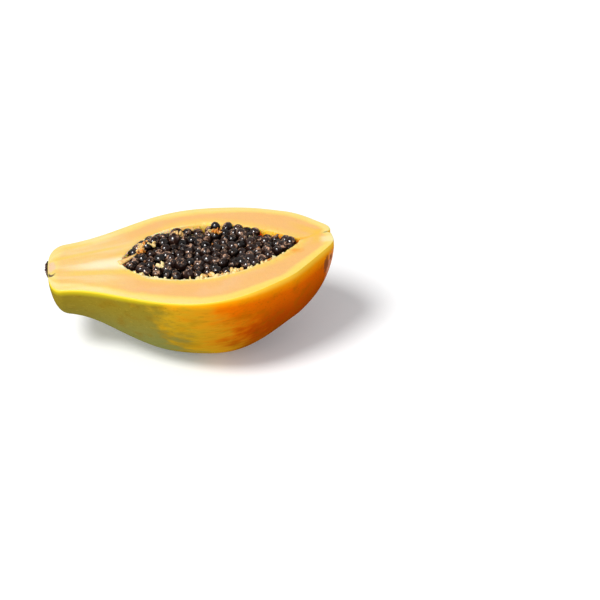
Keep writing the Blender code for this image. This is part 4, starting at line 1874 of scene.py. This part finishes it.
@dataclass
class SeedTissue:
    """The torn pale tissue that held the seeds: crumbs, films, scraps, strands and tags.

    A scrap is x, y, z, size and tone, and a tag is its start, its end, its radius and its
    tone, in mm in the fruit's own frame.
    """

    form: FruitForm
    place: RestingPlace
    heap: SeedHeap
    draw_seed: int = 5
    crumb_rows: tuple[CrumbRow, ...] = (
        CrumbRow(
            count=26,
            near=True,
            stretch=(96 * MM, 119 * MM),
            moves=((-1.0, -1.0, -1.4), (1.0, 3.0, 0.2)),
            sizes=((1.3, 1.1, 0.8), (3.0, 2.2, 1.3)),
            tones=(0.20, 0.44),
        ),
        CrumbRow(
            count=44,
            near=True,
            stretch=None,
            moves=((-0.5, -0.9, -1.9), (0.5, 0.6, -0.9)),
            sizes=((1.0, 0.8, 0.6), (2.8, 1.6, 1.2)),
            tones=(0.0, 0.24),
        ),
        CrumbRow(
            count=22,
            near=False,
            stretch=None,
            moves=((-0.5, -2.4, -4.6), (0.5, -0.6, -2.2)),
            sizes=((0.6, 0.6, 0.6), (1.5, 1.5, 1.5)),
            tones=(0.25, 0.50),
        ),
    )
    crumb_margins: Pair = (3 * MM, 10 * MM)
    film_count: int = 60
    film_tones: Pair = (0.80, 1.05)
    scrap_parts: int = 5
    scraps: tuple[tuple[float, ...], ...] = (
        (59.8, 4.4, 2.4, 2.2, 0.58),
        (58.0, 8.0, 2.2, 2.1, 0.40),
        (62.0, 9.2, 3.0, 2.4, 0.42),
        (66.1, 10.7, 3.3, 2.6, 0.30),
        (62.5, 12.6, 3.2, 1.9, 0.56),
        (58.5, 13.2, 2.6, 1.9, 0.34),
        (82.0, 21.6, 3.6, 2.7, 0.38),
        (105.0, 18.6, 3.6, 2.6, 0.60),
        (103.0, 21.0, 3.2, 1.5, 0.38),
        (108.0, 17.2, 3.2, 1.5, 0.56),
        (71.5, -13.7, 2.3, 2.5, 0.16),
        (126.0, 9.5, 2.2, 0.9, 0.10),
        (79.0, 24.5, 1.0, 1.4, 0.40),
    )
    strand_count: int = 24
    strand_margins: Pair = (6 * MM, 20 * MM)
    tags: tuple[tuple[float, ...], ...] = (
        (46.0, -1.8, -0.3, 57.5, 2.6, 1.6, 2.3, 0.36),
        (46.8, 1.6, -0.8, 54.0, -1.8, -1.8, 1.0, 0.95),
        (47.6, 4.2, -0.6, 56.0, 8.2, -0.6, 0.8, 0.85),
        (133.0, -17.0, -1.5, 138.5, -15.5, -0.3, 1.2, 0.55),
    )

    def build(self) -> list[bpy.types.Object]:
        """Builds the crumbs and the strands."""
        draw = np.random.default_rng(self.draw_seed)
        finish = TissueFinish("papaya_tissue", roughness=0.42, coat=0.35, inside_light=0.3)
        return [self._crumbs(draw, finish), self._strands(draw, finish)]

    def _span(self, margins: Pair) -> Pair:
        """The cavity's length less a margin at each end."""
        return self.form.cavity_start + margins[0], self.form.cavity_end - margins[1]

    def _lip_points(self, xs: np.ndarray, near: bool) -> np.ndarray:
        """Places on one lip.

        Args:
            xs: the places along the core, in metres.
            near: whether it is the near lip.

        Returns:
            Rows of x, y and z, in the fruit's own frame.
        """
        form = self.form
        side, sign = (form.near_lip, -1) if near else (form.far_lip, 1)
        y = form.cavity_middle(xs) + sign * form.cavity_extent(xs, side)
        return np.stack([xs, y, np.zeros_like(xs)], 1)

    def _crumbs(self, draw: np.random.Generator, finish: Finish) -> bpy.types.Object:
        """Small lumps along the lips, thickest on one stretch, and films on the seeds.

        Args:
            draw: the random numbers.
            finish: the tissue's finish.

        Returns:
            The new piece.
        """
        sets = []
        for row in self.crumb_rows:
            stretch = row.stretch or self._span(self.crumb_margins)
            places = self._lip_points(draw.uniform(*stretch, row.count), row.near)
            places += draw.uniform(*row.moves, places.shape) * MM
            sets.append((places, draw.uniform(*row.sizes, places.shape) * MM, row.tones))
        seeds = self.heap.layer(self.heap.draw_seed)
        chosen = seeds[draw.integers(0, len(seeds), self.film_count)]
        films = chosen[:, :3]
        films = films + draw.uniform((-2.4, -2.4, 0.6), (2.4, 2.4, 1.8), films.shape) * MM
        flat = draw.uniform((0.6, 0.6, 0.25), (1.9, 1.2, 0.5), films.shape) * MM
        sets.append((films, flat, self.film_tones))
        scraps = np.repeat(np.array(self.scraps), self.scrap_parts, 0)
        aside = draw.uniform((-0.8, -0.8, -0.2), (0.8, 0.8, 0.2), (len(scraps), 3))
        scraps[:, :3] += aside * scraps[:, 3:4]
        own = np.concatenate([places for places, _, _ in sets] + [scraps[:, :3] * MM])
        lumps = draw.uniform((0.4, 0.2, 0.15), (1.0, 0.6, 0.4), (len(scraps), 3))
        lumps = scraps[:, 3:4] * MM * lumps
        tones = [draw.uniform(*tones, len(places)) for places, _, tones in sets]
        stored = {
            "size": np.concatenate([sizes for _, sizes, _ in sets] + [lumps]),
            "turn": draw.uniform(0, 2 * math.pi, own.shape),
            "tone": np.concatenate(tones + [scraps[:, 4]]),
        }
        piece = point_piece("papaya_tissue_crumbs", self.place.points(own), stored)
        values = {"rings": 3, "wrinkle_height": 0.85 * MM, "wrinkles": 420.0}
        CopyTree("tissue_crumbs", Shape.CRUMB, finish, **values).grow(piece)
        return piece

    def _strands(self, draw: np.random.Generator, finish: Finish) -> bpy.types.Object:
        """Short threads from the lips to the seeds, and the long tags.

        Args:
            draw: the random numbers.
            finish: the tissue's finish.

        Returns:
            The new piece.
        """
        span = self._span(self.strand_margins)
        half = self.strand_count // 2
        near = self._lip_points(draw.uniform(*span, half), True)
        far = self._lip_points(draw.uniform(*span, self.strand_count - half), False)
        near[:, 1:] += draw.uniform((-0.6, -2.2), (0.4, -0.6), (len(near), 2)) * MM
        far[:, 1:] += draw.uniform((-0.8, -4.5), (0.4, -2.4), (len(far), 2)) * MM
        ways = draw.uniform((-2.0, 2.0, 0.6), (2.0, 4.6, 2.6), near.shape) * MM
        back = draw.uniform((-2.0, -4.6, 0.0), (2.0, -2.0, 2.0), far.shape) * MM
        tags = np.array(self.tags)
        starts = np.concatenate([near, far, tags[:, 0:3] * MM])
        reach = np.concatenate([ways, back, (tags[:, 3:6] - tags[:, 0:3]) * MM])
        radii = np.concatenate([draw.uniform(0.4, 0.8, self.strand_count), tags[:, 6]]) * MM
        tones = np.concatenate([draw.uniform(0.1, 0.4, self.strand_count), tags[:, 7]])
        turned = reach @ self.place.matrix.T
        turns = [Vector(way).to_track_quat("Z", "Y").to_euler() for way in turned]
        stored = {
            "size": np.stack([radii, radii * 0.8, np.linalg.norm(reach, axis=1)], 1),
            "turn": np.array([tuple(turn) for turn in turns]),
            "tone": tones,
        }
        piece = point_piece("papaya_tissue_strands", self.place.points(starts), stored)
        values = {"sides": 7, "rings": 6, "bend": 0.8}
        values |= {"wrinkle_height": 0.2 * MM, "wrinkles": 600.0}
        CopyTree("tissue_strands", Shape.STRAND, finish, **values).grow(piece)
        return piece


@dataclass
class StalkStub:
    """The dry half disc of stalk in the stem end: bark outside, wood on the cut."""

    form: FruitForm
    place: RestingPlace
    middle: float = 2.4 * MM
    radius: float = 8.8 * MM
    proud: float = 1.9 * MM
    ridge_depth: float = 0.24
    ridge_turn: float = 0.9
    ridge_count: int = 10
    inside: float = 2.3 * MM
    cut_height: float = 0.05 * MM
    sink: float = 1.0 * MM
    sink_from: float = 1.0 * MM
    least_thinness: float = 0.05
    depth_share: float = 0.5
    turns: int = 40
    cut_rows: int = 16

    def build(self) -> bpy.types.Object:
        """Builds the closed half disc, marks its wood and roughens it.

        Returns:
            The new piece.
        """
        points, faces = self._shell()
        own = self._thinned(points)
        mesh = bpy.data.meshes.new("papaya_stalk")
        mesh.from_pydata(self.place.points(self.form.drawn(own)).tolist(), [], faces)
        store(mesh, "wood", self._wood(own))
        self._close(mesh)
        piece = bpy.data.objects.new("papaya_stalk", mesh)
        bpy.context.scene.collection.objects.link(piece)
        self._roughen(piece)
        return piece

    def _profile(self) -> list[Pair]:
        """The bark's outline, from its middle outwards and back inside.

        Returns:
            Pairs of x and radius, in metres.
        """
        last = self.ridge_count - 1
        depth = self.ridge_depth
        outline = [
            (-self.proud * (1 - depth + depth * math.cos(self.ridge_turn * i)), i / last)
            for i in range(self.ridge_count)
        ]
        outline += [(self.inside * 0.5, 1.0), (self.inside, 0.9)]
        outline += [(self.inside, 0.45), (self.inside, 0.0)]
        return [(x, share * self.radius) for x, share in outline]

    def _shell(self) -> tuple[np.ndarray, list[list[int]]]:
        """Turns the outline through half a turn and closes it with the cut.

        Returns:
            The points in the fruit's own frame, and the faces.
        """
        profile = self._profile()
        around = [
            [(x, self.middle + r * math.cos(a), -r * math.sin(a)) for x, r in profile]
            for a in np.linspace(0, math.pi, self.turns + 1)
        ]
        heights = [self.cut_height if x < self.sink_from else -self.sink for x, _ in profile]
        across = [
            [(x, self.middle + r * share, z) for (x, r), z in zip(profile, heights)]
            for share in np.linspace(1, -1, self.cut_rows + 1)
        ]
        across[0] = around[0]
        across[-1] = around[-1]
        points: list[Triple] = []
        faces: list[list[int]] = []
        wide = len(profile)
        for grid in (around, across[::-1]):
            base = len(points)
            points += [point for row in grid for point in row]
            faces += [
                [base + i * wide + j, base + i * wide + j + 1]
                + [base + (i + 1) * wide + j + 1, base + (i + 1) * wide + j]
                for i in range(len(grid) - 1)
                for j in range(wide - 1)
            ]
        return np.array(points), faces

    def _thinned(self, own: np.ndarray) -> np.ndarray:
        """The points with the disc thinner towards its two sides and made less deep.

        Args:
            own: places on the plain half disc, in the fruit's own frame.

        Returns:
            The same places, moved.
        """
        middle = np.array([0.0, self.middle, 0.0])
        aside = (own[:, 1] - self.middle) / self.radius
        thin = np.sqrt(np.clip(1 - aside**2, self.least_thinness, 1))
        factors = np.stack([thin, np.ones_like(thin), np.full_like(thin, self.depth_share)], 1)
        return (own - middle) * factors + middle

    @staticmethod
    def _roughen(piece: bpy.types.Object) -> None:
        """Gives the stub its cracked bark and its finish.

        Args:
            piece: the plain stub.
        """
        tree = Tree("stalk_bark", {"Bark Height": 0.9 * MM, "Bark per Metre": 420.0})
        spot = tree.graph.add("GeometryNodeInputPosition").outputs[0]
        inputs = {"Vector": spot, "Scale": tree.value("Bark per Metre"), "Detail": 3.0}
        noise = Num(tree.graph, tree.graph.add("ShaderNodeTexNoise", None, inputs).outputs[0])
        rough = (noise - 0.6) * tree.value("Bark Height") * 2.0
        finish = StalkFinish("papaya_stalk", roughness=0.85)
        tree.finish(tree.pushed(tree.given["Geometry"], rough), [(True, finish.material())])
        tree.grow(piece)

    def _wood(self, own: np.ndarray) -> np.ndarray:
        """How far each point is wood and not bark.

        Args:
            own: places in the fruit's own frame.

        Returns:
            From 0 for bark to 1 for wood, at each place.
        """
        deep = np.clip(own[:, 0] / (1.6 * MM) - 0.2, 0, 1)
        out = np.hypot(own[:, 1] - self.middle, own[:, 2] * 2) / self.radius
        sunk = np.clip(own[:, 0] / (1 * MM) - 1.1, 0, 1)
        return deep * np.maximum(np.clip((0.92 - out) / 0.25, 0, 1), sunk)

    @staticmethod
    def _close(mesh: bpy.types.Mesh) -> None:
        """Merges the seams and turns every face outwards.

        Args:
            mesh: the stub's mesh.
        """
        work = bmesh.new()
        work.from_mesh(mesh)
        bmesh.ops.remove_doubles(work, verts=work.verts, dist=0.01 * MM)
        bmesh.ops.recalc_face_normals(work, faces=work.faces)
        work.to_mesh(mesh)
        work.free()


@dataclass(frozen=True)
class Light:
    """One broad studio light: the way to it, its power and how wide it looks."""

    name: str
    way: Triple
    power: float
    width: float


@dataclass
class Studio:
    """The floor, the lights and the camera."""

    place: RestingPlace
    image_size: int = 600
    lens: float = 120.0
    sensor: float = 36.0
    distance: float = 1.2069
    elevation: float = math.radians(30)
    aim_along: float = 87.3 * MM
    aim_pixel: Pair = (187.0, 254.5)
    lights: tuple[Light, ...] = (
        Light("key_light", (-0.44, -0.41, 0.83), 2.42, math.radians(20)),
        Light("fill_light", (-0.55, -0.75, 0.37), 1.3, math.radians(60)),
    )
    sky: float = 0.36
    floor_half: float = 6.0
    floor_drop: float = 0.1 * MM

    def build(self) -> None:
        """Sets up everything round the fruit."""
        self._floor()
        self._light()
        self._world()
        self._camera()
        bpy.context.scene.view_settings.view_transform = "Standard"

    def _floor(self) -> None:
        """A wide, pale, level surface."""
        half = self.floor_half
        corners = np.array([(-half, -half), (half, -half), (half, half), (-half, half)])
        corners = np.column_stack([corners, np.full(4, -self.floor_drop)])
        floor = smooth_mesh("floor", corners, [[0, 1, 2, 3]])
        floor.data.materials.append(FloorFinish("floor", roughness=0.9, specular=0.0).material())

    def _light(self) -> None:
        """The studio's broad lights."""
        for light in self.lights:
            data = bpy.data.lights.new(light.name, "SUN")
            data.energy = light.power
            data.angle = light.width
            lamp = bpy.data.objects.new(light.name, data)
            lamp.rotation_mode = "QUATERNION"
            lamp.rotation_quaternion = Vector(light.way).to_track_quat("Z", "Y")
            bpy.context.scene.collection.objects.link(lamp)

    def _world(self) -> None:
        """Even white light from all round."""
        world = bpy.data.worlds.new("studio")
        world.use_nodes = True
        shade = world.node_tree.nodes["Background"]
        shade.inputs["Color"].default_value = (1.0, 1.0, 1.0, 1.0)
        shade.inputs["Strength"].default_value = self.sky
        bpy.context.scene.world = world

    def _camera(self) -> None:
        """The camera, placed so that the fruit lands on its pixels in the photograph."""
        data = bpy.data.cameras.new("camera")
        data.lens = self.lens
        data.sensor_width = self.sensor
        camera = bpy.data.objects.new("camera", data)
        bpy.context.scene.collection.objects.link(camera)
        bpy.context.scene.camera = camera
        forward = Vector((0, math.cos(self.elevation), -math.sin(self.elevation)))
        aim = self.place.point((self.aim_along, 0.0, 0.0))
        camera.location = aim - forward * self.distance
        base = forward.to_track_quat("-Z", "Y")
        focal = self.lens / self.sensor * self.image_size
        across = self.image_size / 2 - self.aim_pixel[0]
        down = self.image_size / 2 - self.aim_pixel[1]
        middle = Vector((across, -down, -focal))
        turn = Vector((0, 0, -1)).rotation_difference(middle)
        camera.rotation_mode = "QUATERNION"
        camera.rotation_quaternion = base @ turn


def main() -> None:
    """Builds the pieces round the CAD frame and reports them."""
    logging.basicConfig(level=logging.INFO, format="%(name)s: %(message)s")
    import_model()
    form = FruitForm()
    place = RestingPlace(form)
    heap = SeedHeap(form, place)
    made = [(FruitHalf(form, place).build(), "fruit_half", "flesh")]
    made += [(piece, "seed_heap", "seeds") for piece in heap.build()]
    made += [(piece, None, "flesh") for piece in SeedTissue(form, place, heap).build()]
    made.append((StalkStub(form, place).build(), "stalk_stub", "stalk"))
    for piece, node, slot in made:
        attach(piece, BODY)
        if node:
            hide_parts(node)
        log.info("%s: %d faces", piece.name, len(piece.data.polygons))
    Studio(place).build()


if __name__ == "__main__":
    main()
